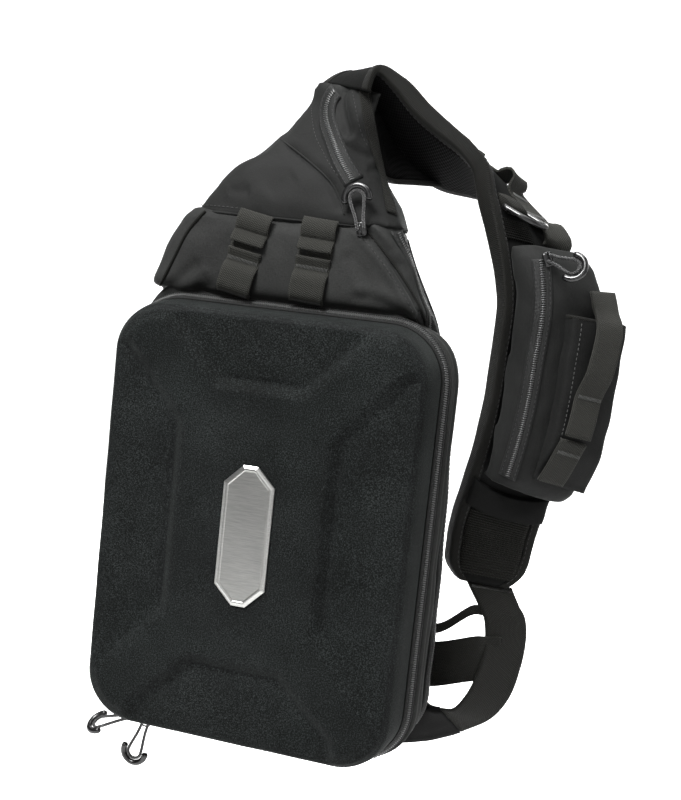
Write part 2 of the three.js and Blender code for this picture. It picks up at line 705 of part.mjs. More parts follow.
// Tape folded over one edge of the strap: side 1 is the edge nearer the viewer
function bindingOutline(half, side) {
  const edge = half - BINDING_THICK;
  const cover = half - BINDING_COVER;
  const [high, inner] = [bindingHigh, bindingHigh - BINDING_THICK];
  return [
    [cover, -high], [half - 2, -high], [half, -high + 2], [half, high - 2], [half - 2, high],
    [cover, high], [cover, inner], [edge, inner], [edge, -inner], [cover, -inner],
  ].map(([u, v]) => [side * u, v]);
}

function makeBindings() {
  for (const [name, side] of [['strap_binding_near', 1], ['strap_binding_far', -1]]) {
    add(name, alongStrap(STRAP_START, STRAP_END, ({ half }) => bindingOutline(half, side)), 'webbing');
  }
}

// The room that the strap and its bindings take, with a clearance, for what is sewn on top
const strapRoom = alongStrap(STRAP_START, STRAP_END, ({ half }) => {
  const [wide, cover] = [half + GAP, half - BINDING_COVER - GAP];
  const [high, face] = [bindingHigh + GAP, outerFace + GAP];
  const marks = faceMarks(half).map((u) => [-u, face]);
  return [
    [-wide, -high], [wide, -high], [wide, high], [cover + 0.01, high], ...marks, [-cover - 0.01, high],
    [-wide, high],
  ];
});

// Webbing along the strap: at is a station number, side a share of half STRAP_WIDTH, out a share of
// the given rise above the surface that the webbing is sewn to
function webAlong(rows, width, rise, base) {
  return alongStrap(rows[0].at, rows[rows.length - 1].at, (frame, at) => {
    const side = (readTable(rows, 'at', 'side', at) * STRAP_WIDTH) / 2;
    const low = base + GAP + readTable(rows, 'at', 'out', at) * rise;
    return tapeOutline(width, low, low + WEB_THICK).map(([u, v]) => [u + side, v]);
  }, 6);
}

const SHOULDER_WEB = [
  { at: 5.4, side: -0.1, out: 0.0 },
  { at: 5.75, side: -0.12, out: 0.05 },
  { at: 6.05, side: -0.15, out: 0.8 },
  { at: 6.35, side: -0.18, out: 0.05 },
  { at: 6.75, side: -0.2, out: 0.0 },
  { at: 7.0, side: -0.22, out: 0.9 },
  { at: 7.25, side: -0.24, out: 1.0 },
  { at: 7.5, side: -0.27, out: 0.0 },
  { at: 8.3, side: -0.42, out: 0.0 },
  { at: 8.6, side: -0.54, out: 0.95 },
  { at: 8.92, side: -0.56, out: 0.9 },
  { at: 9.2, side: -0.5, out: 0.0 },
];

// Ribbed elastic between the shoulder webbing and the pouch, and the cloth hem and band at the foot
const ELASTIC = { from: 8.68, to: 9.2, near: 0.82, far: 0.05, thick: ELASTIC_THICK };
const FLAP = { from: 14.5, to: 15.25, near: 0.92, far: -0.98, thick: HEM_THICK };
const END_BAND = { from: 15.35, to: 17.75, near: 0.74, far: -0.74, thick: BAND_THICK };

function patchOnStrap(patch, lift = 0) {
  const low = outerFace + lift;
  const high = outerFace + GAP + lift + patch.thick;
  const marks = [0, 0.25, 0.5, 0.75, 1].map((share) => THREE.MathUtils.lerp(patch.far, patch.near, share));
  return alongStrap(patch.from, patch.to, ({ half }) => [
    ...marks.map((mark) => [half * mark, low]), ...marks.map((mark) => [half * mark, high]).reverse(),
  ]).subtract(strapRoom);
}

function makeStrapTrim() {
  const web = webAlong(SHOULDER_WEB, WEB_WIDTH, SHOULDER_LOOP_RISE, outerFace);
  add('shoulder_web', web.subtract(strapRoom), 'webbing');
  add('ribbed_elastic', patchOnStrap(ELASTIC), 'webbing');
  add('pouch_hem', patchOnStrap(FLAP, BINDING_THICK + GAP), 'nylon');
  add('strap_end_band', patchOnStrap(END_BAND), 'webbing');
}

// Pouch on the strap: edges in shares of POUCH_WIDTH from the strap's middle line, height of POUCH_DEPTH
const POUCH_SECTIONS = [
  { at: 9.35, near: 0.38, far: -0.41, high: 0.55 },
  { at: 9.7, near: 0.4, far: -0.44, high: 0.88 },
  { at: 10.4, near: 0.41, far: -0.47, high: 0.98 },
  { at: 11.4, near: 0.42, far: -0.52, high: 1.0 },
  { at: 12.4, near: 0.42, far: -0.6, high: 1.04 },
  { at: 13.3, near: 0.4, far: -0.62, high: 1.04 },
  { at: 14.1, near: 0.38, far: -0.56, high: 0.95 },
  { at: 14.4, near: 0.36, far: -0.52, high: 0.6 },
];
const pouchBase = outerFace + BINDING_THICK + 2 * GAP;

// Pouch section: an upright far wall, a flat front, and a long slope on the near side for the zip
function pouchOutline(row, inset, sink) {
  const near = row.near * POUCH_WIDTH - inset;
  const far = row.far * POUCH_WIDTH + inset;
  const top = pouchBase + row.high * POUCH_DEPTH - inset;
  const base = pouchBase - sink;
  const high = top - pouchBase;
  return [
    [near, base], [near - 1, pouchBase + high * 0.35], [near - 6, pouchBase + high * 0.75], [near - 15, top],
    [far + 7, top], [far + 1.5, pouchBase + high * 0.78], [far, pouchBase + high * 0.4], [far, base],
  ];
}

function pouchSolid(inset, sink) {
  const end = inset * 0.06;
  const last = POUCH_SECTIONS.length - 1;
  return alongStrap(POUCH_SECTIONS[0].at + end, POUCH_SECTIONS[last].at - end, (frame, at) => {
    const read = (column) => readTable(POUCH_SECTIONS, 'at', column, at);
    return pouchOutline({ near: read('near'), far: read('far'), high: read('high') }, inset, sink);
  });
}

// The zip's tape lies where this slanting block meets the pouch's near slope
const POUCH_ZIP = { from: 9.75, to: 14.1, section: [[17, 4], [25, 12], [16, 38], [8, 30]] };

function makePouch() {
  const pouch = pouchSolid(0, 0).subtract(pouchSolid(POUCH_WALL, 2)).subtract(strapRoom);
  add('strap_pouch', pouch, 'nylon');
  const zip = alongStrap(POUCH_ZIP.from, POUCH_ZIP.to, () => POUCH_ZIP.section.map(([u, v]) => (
    [u, pouchBase + v]
  )));
  add('pouch_zip', onForm((inset) => pouchSolid(inset, 0), zip), 'zip');
}

// Open pocket on the pouch's front: it widens to the far side, and its mouth faces up the strap
const POCKET = { from: 10.95, to: 13.95, near: 0.03, slack: 0.86, corner: 3 };
const pocketBase = pouchBase + POUCH_DEPTH * 1.04 + GAP;

function pocketSolid(inset, open) {
  const from = POCKET.from - (open ? 0.2 : 0);
  const to = POCKET.to - inset * 0.06;
  return alongStrap(from, to, (frame, at) => {
    const near = POCKET.near * POUCH_WIDTH - inset;
    const far = near + 2 * inset - POCKET_WIDTH;
    const fullness = Math.sin((Math.PI * (at - from)) / (to - from));
    const top = pocketBase + POCKET_DEPTH * THREE.MathUtils.lerp(POCKET.slack, 1, fullness) - inset;
    const low = pocketBase + inset;
    return [
      [near, low], [near, top - POCKET.corner], [near - POCKET.corner, top],
      [far + POCKET.corner, top], [far, top - POCKET.corner], [far, low],
    ];
  });
}

// Webbing along the pocket, over its mouth and down its front
const POCKET_WEB = [
  { at: 9.9, side: -0.82, out: -0.9 },
  { at: 10.7, side: -0.76, out: -0.5 },
  { at: 11.2, side: -0.7, out: 0.4 },
  { at: 11.8, side: -0.62, out: 0.7 },
  { at: 12.3, side: -0.52, out: 0.0 },
  { at: 12.9, side: -0.44, out: 0.6 },
  { at: 13.3, side: -0.36, out: -0.04 },
  { at: 13.9, side: -0.26, out: 0.1 },
];
const POCKET_WEB_WIDTH = 21;

function makePocket() {
  add('outer_pocket', pocketSolid(0, false).subtract(pocketSolid(POUCH_WALL, true)), 'nylon');
  const top = pocketBase + POCKET_DEPTH;
  add('pocket_ladder', webAlong(POCKET_WEB, POCKET_WEB_WIDTH, POCKET_DEPTH, top), 'webbing');
}

// Wide webbing from the strap's foot round to the bag's lower corner: x in shares of FOOT_SWING beyond
// the body's side, y of FOOT_DEEP, z of the height where the strap ends
const FOOT_STATIONS = [
  { x: 0.79, y: 0.98, z: 0.86, turn: 135, tilt: 7 },
  { x: 0.925, y: 0.92, z: 0.78, turn: 133, tilt: 4 },
  { x: 1.0, y: 0.77, z: 0.63, turn: 132.5, tilt: 4 },
  { x: 0.974, y: 0.55, z: 0.45, turn: 133, tilt: 6.5 },
  { x: 0.865, y: 0.32, z: 0.28, turn: 135, tilt: 9 },
  { x: 0.65, y: 0.16, z: 0.15, turn: 130, tilt: 17 },
  { x: 0.32, y: 0.0, z: 0.09, turn: 114, tilt: 38 },
];
const WING_SEAM = { turn: 40, tilt: 62, inside: 16, up: 12 };
const footTop = strapFrame(STRAP_END);
const footPlace = (row) => (
  V(BODY_WIDTH / 2 + row.x * FOOT_SWING, row.y * FOOT_DEEP, row.z * footTop.middle.z)
);
const footStart = footTop.middle.clone().addScaledVector(footTop.across, -0.26 * footTop.half)
  .addScaledVector(strapLine.getTangent(1), GAP + 0.5);
const footLine = new THREE.CatmullRomCurve3([footStart, ...FOOT_STATIONS.map(footPlace)]);
const footTwist = new THREE.CatmullRomCurve3([
  V(STRAP_STATIONS[STRAP_END].turn, STRAP_STATIONS[STRAP_END].tilt, 0),
  ...FOOT_STATIONS.map((row) => V(row.turn, row.tilt, 0)),
]);

function footRing(share, low, high, width = WIDE_WEB_WIDTH) {
  const twist = footTwist.getPoint(share);
  const across = acrossAt(twist.x, twist.y);
  const out = across.clone().cross(footLine.getTangent(share)).normalize();
  return ringAt(tapeOutline(width, low, high), footLine.getPoint(share), across, out);
}

function makeFootWebbing() {
  const half = WIDE_WEB_THICK / 2;
  const steps = 20;
  const rings = Array.from({ length: steps + 1 }, (_, i) => footRing(i / steps, -half, half));
  add('strap_webbing', skin(rings), 'webbing');

  // The wing is sewn into the bag's lower corner and tapers to the webbing's end
  const low = -WING_THICK / 2;
  const join = footRing(1, low, -low);
  const onward = footLine.getTangent(1).multiplyScalar(GAP);
  join.points.forEach((point) => point.add(onward));
  const across = acrossAt(WING_SEAM.turn, WING_SEAM.tilt);
  const corner = V(BODY_WIDTH / 2 - WING_SEAM.inside, bodyBack - 2, CASE_BASE + WING_SEAM.up);
  const out = across.clone().cross(V(-1, -0.1, -0.1)).normalize();
  const sewn = ringAt(tapeOutline(WIDE_WEB_WIDTH, low, -low), corner, across, out);
  const wing = skin([join, sewn]).subtract(bodySolid(-GAP)).subtract(backPanelSolid(GAP));
  add('corner_wing', wing, 'nylon');
}

// D-ring in a folded tab on the strap's outer face. It leans out from the strap over the elastic.
const D_RING = { at: 8.4, side: 14, lean: 30 };

function makeDRing() {
  const frame = strapFrame(D_RING.at);
  const along = strapLine.getTangent(D_RING.at / STRAP_END);
  const barHigh = TAB_THICK + GAP + RING_WIRE / 2;
  const foot = frame.middle.clone().addScaledVector(frame.across, D_RING.side)
    .addScaledVector(frame.out, outerFace + GAP);
  const bar = foot.clone().addScaledVector(frame.out, barHigh);
  const lean = radians(D_RING.lean);
  const reach = along.clone().multiplyScalar(Math.cos(lean)).addScaledVector(frame.out, Math.sin(lean));
  const halfWide = (D_RING_WIDTH - RING_WIRE) / 2;
  const at = (side, far) => (
    bar.clone().addScaledVector(frame.across, side).addScaledVector(reach, far)
  );
  const bend = D_RING_LENGTH - RING_WIRE - halfWide;
  const bow = [0, 36, 72, 108, 144, 180].map((degrees) => (
    at(halfWide * Math.cos(radians(degrees)), bend + halfWide * Math.sin(radians(degrees)))
  ));
  const bars = [-0.9, 0, 0.9].map((share) => at(share * halfWide, 0));
  const ring = [
    ...bars, at(halfWide, 1.5), at(halfWide, bend * 0.6), ...bow,
    at(-halfWide, bend * 0.6), at(-halfWide, 1.5),
  ];
  add('d_ring', wire(ring, RING_WIRE, { closed: true, steps: 28 }), 'plastic');

  const wrap = [-60, -30, 0, 30, 60, 90].map((degrees) => (
    [barHigh * Math.cos(radians(degrees)), barHigh * (1 + Math.sin(radians(degrees)))]
  ));
  const outline = [
    [-TAB_LENGTH, 0], [0, 0], ...wrap, [-TAB_LENGTH * 0.4, barHigh * 1.7], [-TAB_LENGTH, TAB_THICK],
  ];
  const sides = [-TAB_WIDTH / 2, TAB_WIDTH / 2].map((side) => (
    ringAt(outline, foot.clone().addScaledVector(frame.across, side), along, frame.out)
  ));
  const channel = wire([at(-TAB_WIDTH, 0), at(0, 0), at(TAB_WIDTH, 0)], RING_WIRE + 4 * GAP, { sides: 8 });
  add('d_ring_tab', skin(sides).subtract(channel).subtract(strapRoom), 'webbing');
}

// Zip pulls: a slider on its zip, and a loop of cord that holds a moulded C-shaped grip.
// The loop leaves the slider's eye, lies inside the grip and comes back to the eye.
function makePull({ name, place: base, normal, zipWay, reach, side, far }) {
  const out = normal.clone().normalize();
  const way = zipWay.clone().addScaledVector(out, -zipWay.dot(out)).normalize();
  const cross = out.clone().cross(way);
  const low = base.clone().addScaledVector(out, GAP);
  const [halfWide, halfLong] = [SLIDER.wide / 2, SLIDER.long / 2];
  const outline = roundedBox(-halfWide, halfWide, -halfLong, halfLong, 2, 2, 2);
  const levels = [[outline, 0], [outline, SLIDER.thick * 0.7], [grown(outline, -0.8), SLIDER.thick]];
  add(`${name}_slider`, skin(levels.map(([shape, high]) => (
    ringAt(shape, low.clone().addScaledVector(out, high), cross, way)
  ))), 'plastic');

  const ahead = reach.clone().normalize();
  const aside = side.clone().addScaledVector(ahead, -side.dot(ahead)).normalize();
  const eye = low.clone().addScaledVector(out, SLIDER.thick + 2 * GAP + CORD_THICK / 2);
  const at = (forward, across) => (
    eye.clone().addScaledVector(ahead, forward).addScaledVector(aside, across)
  );
  const onArc = (radius, degrees) => (
    at(far + radius * Math.cos(radians(degrees)), radius * Math.sin(radians(degrees)))
  );
  const gripRadius = (GRIP_SPREAD - GRIP_WIRE) / 2;
  const cordRadius = gripRadius - (GRIP_WIRE + CORD_THICK) / 2 - GAP;
  const grip = [-100, -66, -33, 0, 33, 66, 100].map((degrees) => onArc(gripRadius, degrees));
  add(`${name}_grip`, wire(grip, GRIP_WIRE, { steps: 12 }), 'plastic');
  const waist = 0.55 * cordRadius;
  const loop = [
    at(0, -CORD_THICK), at(far * 0.35, -waist),
    ...[-105, -70, -35, 0, 35, 70, 105].map((degrees) => onArc(cordRadius, degrees)),
    at(far * 0.35, waist), at(0, CORD_THICK),
  ];
  add(`${name}_cord`, cord(loop), 'cord');
}

// A point of the case's zip frame, and the way out from it, at an angle round its lower left corner
function frameCorner(degrees) {
  const corner = V(CASE_X - CASE_WIDTH / 2 + CASE_CORNER, 0, CASE_BASE + CASE_CORNER);
  const out = V(-Math.sin(radians(degrees)), 0, -Math.cos(radians(degrees)));
  const middle = (zipFront + zipBack) / 2;
  return { out, point: corner.addScaledVector(out, CASE_CORNER + ZIP_PROUD).setY(middle) };
}

// A point of the pouch's zip at its upper end, and the way out from it
function pouchZipTop(at) {
  const frame = strapFrame(at);
  const point = frame.middle.clone().addScaledVector(frame.across, 14)
    .addScaledVector(frame.out, pouchBase + POUCH_DEPTH * 0.9 + STRIP_THICK);
  return { point, out: frame.out.clone().addScaledVector(frame.across, 0.45) };
}

function makePulls() {
  const low = frameCorner(3);
  makePull({
    name: 'shell_pull_low', place: low.point, normal: low.out, zipWay: X,
    reach: V(-0.28, 0, -0.96), side: X, far: 24,
  });
  const left = frameCorner(19);
  makePull({
    name: 'shell_pull_left', place: left.point, normal: left.out, zipWay: X,
    reach: V(-0.92, 0, -0.38), side: V(0, 0.86, 0.5), far: 25,
  });
  makePull({
    name: 'main_pull', place: V(BODY_WIDTH * 0.176, panelY(hemZ) - 1, hemZ - 4), normal: V(0.15, -1, 0.05),
    zipWay: V(-0.3, 0, 1), reach: V(-0.25, 0.08, 0.96), side: X, far: 21,
  });
  const top = pouchZipTop(9.75);
  makePull({
    name: 'pouch_pull', place: top.point, normal: top.out, zipWay: strapLine.getTangent(9.75 / STRAP_END),
    reach: V(0.95, -0.2, -0.25), side: V(0.2, 0.3, 1), far: 17,
  });
}

// Upright bands behind the bag: flat on the back panel, then out to the back of the foot webbing.
// share is a place along the webbing, start a share of half the body's width.
const BACK_BANDS = [
  { name: 'back_belt', height: BELT_HEIGHT, share: 0.52, z: BELT_LEVEL, start: 0.5 },
  { name: 'back_tie', height: TIE_HEIGHT, share: 0.2, z: TIE_LEVEL, start: 0.72 },
];

const footRoom = skin(Array.from({ length: 21 }, (_, i) => (
  footRing(i / 20, -WIDE_WEB_THICK / 2 - GAP, WIDE_WEB_THICK / 2 + GAP, WIDE_WEB_WIDTH + 2 * GAP)
)));

function makeBackBand({ name, height, share, z, start }) {
  const lift = BELT_THICK / 2 + GAP;
  const twist = footTwist.getPoint(share);
  const across = acrossAt(twist.x, twist.y);
  const out = across.clone().cross(footLine.getTangent(share)).normalize();
  const behind = (side) => footLine.getPoint(share).addScaledVector(across, side)
    .addScaledVector(out, -(WIDE_WEB_THICK / 2 + lift));
  const edge = WIDE_WEB_WIDTH / 2;
  const half = BODY_WIDTH / 2;
  const curve = new THREE.CatmullRomCurve3([
    V(half * start, lift, z), V(half * 0.8, lift, z), V(half * 0.97, lift + 0.8, z + 1),
    behind(edge + 6), behind(edge - 4), behind(2),
  ]);
  const steps = 14;
  const outline = tapeOutline(height, -BELT_THICK / 2, BELT_THICK / 2);
  const rings = Array.from({ length: steps + 1 }, (_, i) => {
    const way = curve.getTangentAt(i / steps).setZ(0).normalize();
    return ringAt(outline, curve.getPointAt(i / steps), Z, Z.clone().cross(way));
  });
  add(name, skin(rings).subtract(footRoom).subtract(backPanelSolid(GAP)), 'webbing');
}

makeShell();
makeCaseBands();
makeBadge();
makeBody();
makeBackPanel();
makeHood();
makeHoodZip();
makeMainZip();
makeLadders();
makeStrap();
makeBindings();
makeStrapTrim();
makePouch();
makePocket();
makeFootWebbing();
makeDRing();
makePulls();
BACK_BANDS.forEach(makeBackBand);

// The origin: the underside of the strap at its highest point
const SEAT_STATION = 2.35;
const seatFrame = strapFrame(SEAT_STATION);
const seat = seatFrame.middle.clone().addScaledVector(seatFrame.out, liningLow);
group.position.copy(seat).negate();

export default group;
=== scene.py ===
"""Fishing tackle sling bag. Lengths are in millimetres in the bag's own coordinates until place() turns
them into the frame's metres: x to the viewer's right, y to the wearer's back, z up."""
import math

import bpy
import numpy as np
from mathutils import Matrix, Vector
from mathutils.bvhtree import BVHTree


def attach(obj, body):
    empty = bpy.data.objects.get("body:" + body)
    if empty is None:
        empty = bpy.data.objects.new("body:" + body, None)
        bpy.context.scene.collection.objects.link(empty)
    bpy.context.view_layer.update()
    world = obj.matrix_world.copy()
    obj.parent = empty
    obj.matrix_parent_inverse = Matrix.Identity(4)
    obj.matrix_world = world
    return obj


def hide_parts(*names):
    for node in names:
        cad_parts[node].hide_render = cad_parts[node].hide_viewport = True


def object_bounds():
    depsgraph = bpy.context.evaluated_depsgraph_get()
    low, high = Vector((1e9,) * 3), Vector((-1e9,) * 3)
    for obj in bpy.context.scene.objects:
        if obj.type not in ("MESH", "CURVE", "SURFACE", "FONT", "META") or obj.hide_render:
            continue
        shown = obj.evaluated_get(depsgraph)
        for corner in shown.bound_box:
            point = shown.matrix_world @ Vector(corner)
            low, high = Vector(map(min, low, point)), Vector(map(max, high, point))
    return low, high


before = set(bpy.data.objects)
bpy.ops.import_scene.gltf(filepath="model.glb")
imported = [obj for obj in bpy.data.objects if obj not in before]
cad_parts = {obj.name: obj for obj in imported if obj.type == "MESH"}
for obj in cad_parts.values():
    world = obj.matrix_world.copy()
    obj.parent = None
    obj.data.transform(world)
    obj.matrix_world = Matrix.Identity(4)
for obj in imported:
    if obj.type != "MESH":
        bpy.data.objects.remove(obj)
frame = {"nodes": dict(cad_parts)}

cad_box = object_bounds()
scene = bpy.context.scene

# The frame's origin in bag coordinates
SEAT = np.array((22.736144, -13.962922, 454.844627))

# Sizes of the frame that the pieces share
CASE_WIDTH, CASE_HEIGHT, CASE_CORNER, CASE_X, CASE_BASE = 226.0, 301.0, 38.0, -3.2, -8.0
SHELL_DEPTH, SHELL_EDGE, RELIEF_SLOPE = 38.0, 14.0, 11.0
BODY_WIDTH, BODY_CORNER, BODY_ROUND = 238.0, 38.0, 14.0
BODY_BACK, BODY_FRONT, PANEL_FOOT, PANEL_LEAN, PANEL_RISE = -8.3, -36.0, -58.7, 4.5, 59.0
GUSSET_BACK, GUSSET_FRONT, ZIP_BACK, ZIP_FRONT, RIM, FACE = -36.3, -53.7, -54.0, -61.7, -62.0, -100.0
ZIP_PROUD = 5.0
SHELF_Z, HEM_Z = 298.3, 357.3
CASE_MID = CASE_BASE + CASE_HEIGHT / 2
HOOD_RISE, HOOD_WIDTH, HOOD_THICK = 95.5, 148.0, 50.0
WEB_WIDTH, WEB_THICK, WIDE_WEB_WIDTH, WIDE_WEB_THICK, LOOP_RISE = 25.0, 1.8, 38.0, 2.0, 5.0
STRAP_WIDTH, STRAP_REACH, STRAP_DEEP, STRAP_TOP = 70.0, 160.0, 32.0, 462.8
OUTER, LINING, BINDING_COVER, BINDING_HIGH = 5.0, 1.2, 8.0, 6.6
POUCH_WIDTH, POUCH_DEPTH, POUCH_BASE = 74.0, 24.0, 6.9
POCKET_BASE, POCKET_DEPTH, POCKET_WIDTH, POCKET_WEB_WIDTH = 32.16, 12.0, 45.0, 21.0
CORD_THICK, GRIP_WIRE, GRIP_SPREAD, RING_WIRE = 2.3, 4.2, 21.4, 4.0

# The photograph's camera in bag coordinates, and the plane (its y) that paths read from the photograph
# are given on
EYE = np.array((274.2, -871.9, 333.7))
SEEN_PLANE = -50.0

X, Y, Z = np.eye(3)


def V(x, y, z):
    return np.array((x, y, z), float)


def place(p):
    """Bag millimetres as the frame's metres."""
    return (np.asarray(p, float) - SEAT) / 1000


def unit(v):
    return v / np.linalg.norm(v)


def units(rows):
    return rows / np.linalg.norm(rows, axis=-1)[..., None]


def turned(turn, tilt):
    """X turned about z towards the face, then tilted up, by degrees."""
    a, b = math.radians(turn), math.radians(tilt)
    return V(math.cos(a) * math.cos(b), -math.sin(a) * math.cos(b), math.sin(b))


def step(value, low, high):
    t = np.clip((value - low) / (high - low), 0, 1)
    return t * t * (3 - 2 * t)


class Line:
    """Smooth curve through points, with uneven spacing evened out as the CAD does it."""

    def __init__(self, points, closed=False):
        self.points = np.asarray(points, float)
        self.closed = closed

    def at(self, share):
        points, count = self.points, len(self.points)
        place_on = (count if self.closed else count - 1) * min(max(share, 0.0), 1.0)
        i = int(place_on)
        if not self.closed and i >= count - 1:
            i = count - 2
        w = place_on - i
        p1, p2 = points[i % count], points[(i + 1) % count]
        p0 = points[(i - 1) % count] if self.closed or i > 0 else 2 * points[0] - points[1]
        p3 = points[(i + 2) % count] if self.closed or i + 2 < count else 2 * points[-1] - points[-2]
        gaps = [math.sqrt(np.linalg.norm(b - a)) for a, b in ((p0, p1), (p1, p2), (p2, p3))]
        d1 = gaps[1] if gaps[1] > 1e-4 else 1.0
        d0 = gaps[0] if gaps[0] > 1e-4 else d1
        d2 = gaps[2] if gaps[2] > 1e-4 else d1
        t1 = ((p1 - p0) / d0 - (p2 - p0) / (d0 + d1) + (p2 - p1) / d1) * d1
        t2 = ((p2 - p1) / d1 - (p3 - p1) / (d1 + d2) + (p3 - p2) / d2) * d1
        return (p1 + t1 * w + (-3 * p1 + 3 * p2 - 2 * t1 - t2) * w ** 2
                + (2 * p1 - 2 * p2 + t1 + t2) * w ** 3)

    def way(self, share):
        small = 1e-4
        low, high = max(share - small, 0.0), min(share + small, 1.0)
        return unit(self.at(high) - self.at(low))


def runs_of(path):
    """Distance from the start of a path at each of its points."""
    return np.concatenate(([0], np.cumsum(np.linalg.norm(np.diff(path, axis=0), axis=1))))


def read_at(at, runs, values):
    """Values of a path's points, read at distances from its start."""
    return np.stack([np.interp(at, runs, values[:, k]) for k in range(3)], 1)


def spaced(points, gap, closed=False):
    """Points at even distances along a polyline."""
    points = np.asarray(points, float)
    if closed:
        points = np.vstack((points, points[:1]))
    runs = runs_of(points)
    at = np.linspace(0, runs[-1], max(2, round(runs[-1] / gap) + 1))
    return read_at(at[:-1] if closed else at, runs, points)


def smooth_path(points, gap, closed=False):
    """Points at even distances along a smooth curve."""
    line = Line(points, closed)
    count = 12 * len(points)
    return spaced([line.at(i / count) for i in range(count if closed else count + 1)], gap, closed)


def table_at(rows, at):
    """A table's other columns at a value of its first, straight between rows."""
    rows = np.asarray(rows, float)
    return np.array([np.interp(at, rows[:, 0], rows[:, k]) for k in range(1, rows.shape[1])])


def rough(p, size, seed=0.0):
    """Smooth repeatable unevenness from -1 to 1 at points, by summed waves of about that size."""
    p = np.asarray(p, float) * (2 * math.pi / size)
    x, y, z = p[..., 0], p[..., 1], p[..., 2]
    return (np.sin(x * 0.83 + 1.3 * np.sin(y * 0.47 + seed) + seed * 1.7)
            * np.cos(z * 0.91 + 0.9 * np.sin(x * 0.53 - seed * 2.1) + seed)
            + 0.6 * np.sin(y * 1.13 + 1.1 * np.sin(z * 0.61 + seed * 0.7) - seed * 0.6)
            * np.cos(x * 0.37 - z * 0.71 + seed * 2.9)) / 1.6


# Meshes
def make(name, points, faces, material, smooth=True, weave=None):
    """Object of one piece. Its weave attribute tells the material how far across and along it a point is."""
    mesh = bpy.data.meshes.new(name)
    mesh.from_pydata(place(points).tolist(), [], faces)
    mesh.update()
    if smooth:
        mesh.polygons.foreach_set("use_smooth", [True] * len(mesh.polygons))
    if weave is not None:
        layer = mesh.attributes.new("weave", "FLOAT_VECTOR", "POINT")
        layer.data.foreach_set("vector", np.asarray(weave, float).ravel())
    obj = bpy.data.objects.new(name, mesh)
    scene.collection.objects.link(obj)
    mesh.materials.append(material)
    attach(obj, "root")
    return obj


def loft_faces(rows, count, closed_rows=False):
    faces = []
    for i in range(rows if closed_rows else rows - 1):
        a, b = i * count, ((i + 1) % rows) * count
        for j in range(count):
            k = (j + 1) % count
            faces.append((a + j, a + k, b + k, b + j))
    if not closed_rows:
        faces.append(tuple(range(count - 1, -1, -1)))
        faces.append(tuple((rows - 1) * count + j for j in range(count)))
    return faces


def outward(points, faces):
    """The faces, turned so that the closed form's volume is positive."""
    points = np.asarray(points, float)
    total = 0.0
    for face in faces:
        a = points[face[0]]
        for i in range(1, len(face) - 1):
            total += float(np.dot(a, np.cross(points[face[i]], points[face[i + 1]])))
    return faces if total > 0 else [tuple(reversed(face)) for face in faces]


def loft(name, rings, material, closed_rows=False, weave=None, smooth=True):
    """Closed form skinned over rings of points."""
    rings = np.asarray(rings, float)
    points = rings.reshape(-1, 3)
    faces = outward(points, loft_faces(*rings.shape[:2], closed_rows))
    return make(name, points, faces, material, smooth, weave)


def rounded(left, right, low, high, low_round, high_round, side=12, corner=8):
    """Rounded box outline with even points on its sides and corners, counter-clockwise."""
    spots = [(right - low_round, low + low_round, low_round, -90),
             (right - high_round, high - high_round, high_round, 0),
             (left + high_round, high - high_round, high_round, 90),
             (left + low_round, low + low_round, low_round, 180)]

    def on_corner(number, k):
        u, v, radius, start = spots[number % 4]
        a = math.radians(start + 90 * k / corner)
        return np.array((u + radius * math.cos(a), v + radius * math.sin(a)))

    outline = []
    for number in range(4):
        outline += [on_corner(number, k) for k in range(corner + 1)]
        first, last = outline[-1], on_corner(number + 1, 0)
        outline += [first + (last - first) * k / side for k in range(1, side)]
    return np.array(outline)


# Woven edge: the share of the half width where it starts, and how much thicker it is on each side
WOVEN_FROM, WOVEN_RISE, WOVEN_INSET = 0.76, 0.12, 0.985


def tape_section(width, thick, columns=10):
    """Webbing seen at its end: flat, with slightly fuller woven edges and round corners."""
    u = np.linspace(-1, 1, columns + 1)
    high = thick / 2 + np.where(np.abs(u) > WOVEN_FROM, WOVEN_RISE, 0.0)
    top = [(width / 2 * a * WOVEN_INSET, b) for a, b in zip(u, high)]
    low = [(width / 2 * a * WOVEN_INSET, -b) for a, b in zip(u[::-1], high[::-1])]
    return np.array(top + [(width / 2, 0.0)] + low + [(-width / 2, 0.0)])


def ribbon(name, centres, acrosses, outs, width, thick, material, slot, columns=10):
    """Webbing or tape along a path. Its weave attribute holds millimetres across and along it."""
    shape = tape_section(width, thick, columns)
    rings, weave = [], []
    for centre, across, out, run in zip(centres, acrosses, outs, runs_of(centres)):
        rings.append([centre + across * u + out * v for u, v in shape])
        weave.append([(u, run, v) for u, v in shape])
    return loft(name, rings, material, weave=weave)


# Ends of a tube: how far the closing ring stands out, and its size, in shares of the radius
TUBE_END = 0.6


def tube(name, path, radius, material, sides=10, closed=False):
    """Round tube with rounded ends along points."""
    path = np.asarray(path, float)
    ways = units(np.roll(path, -1, 0) - np.roll(path, 1, 0) if closed else np.gradient(path, axis=0))
    normal = unit(np.cross(ways[0], X if abs(ways[0][0]) < 0.8 else Y))
    radii = np.broadcast_to(radius, (len(path),))
    angles = [2 * math.pi * k / sides for k in range(sides)]
    rings, weave, run = [], [], 0.0
    for i, (centre, way) in enumerate(zip(path, ways)):
        normal = unit(normal - way * np.dot(normal, way))
        side = np.cross(way, normal)
        run += 0 if i == 0 else np.linalg.norm(centre - path[i - 1])
        rings.append([centre + radii[i] * (math.cos(a) * normal + math.sin(a) * side) for a in angles])
        weave.append([(a * radii[i], run, 0.0) for a in angles])
    if not closed:
        for end, sign, number in ((0, -1, 0), (-1, 1, len(rings) + 1)):
            middle = path[end] + ways[end] * sign * radii[end] * TUBE_END
            rings.insert(number, [middle + (np.array(p) - path[end]) * TUBE_END for p in rings[end]])
            weave.insert(number, weave[end])
    return loft(name, rings, material, closed_rows=closed, weave=weave)


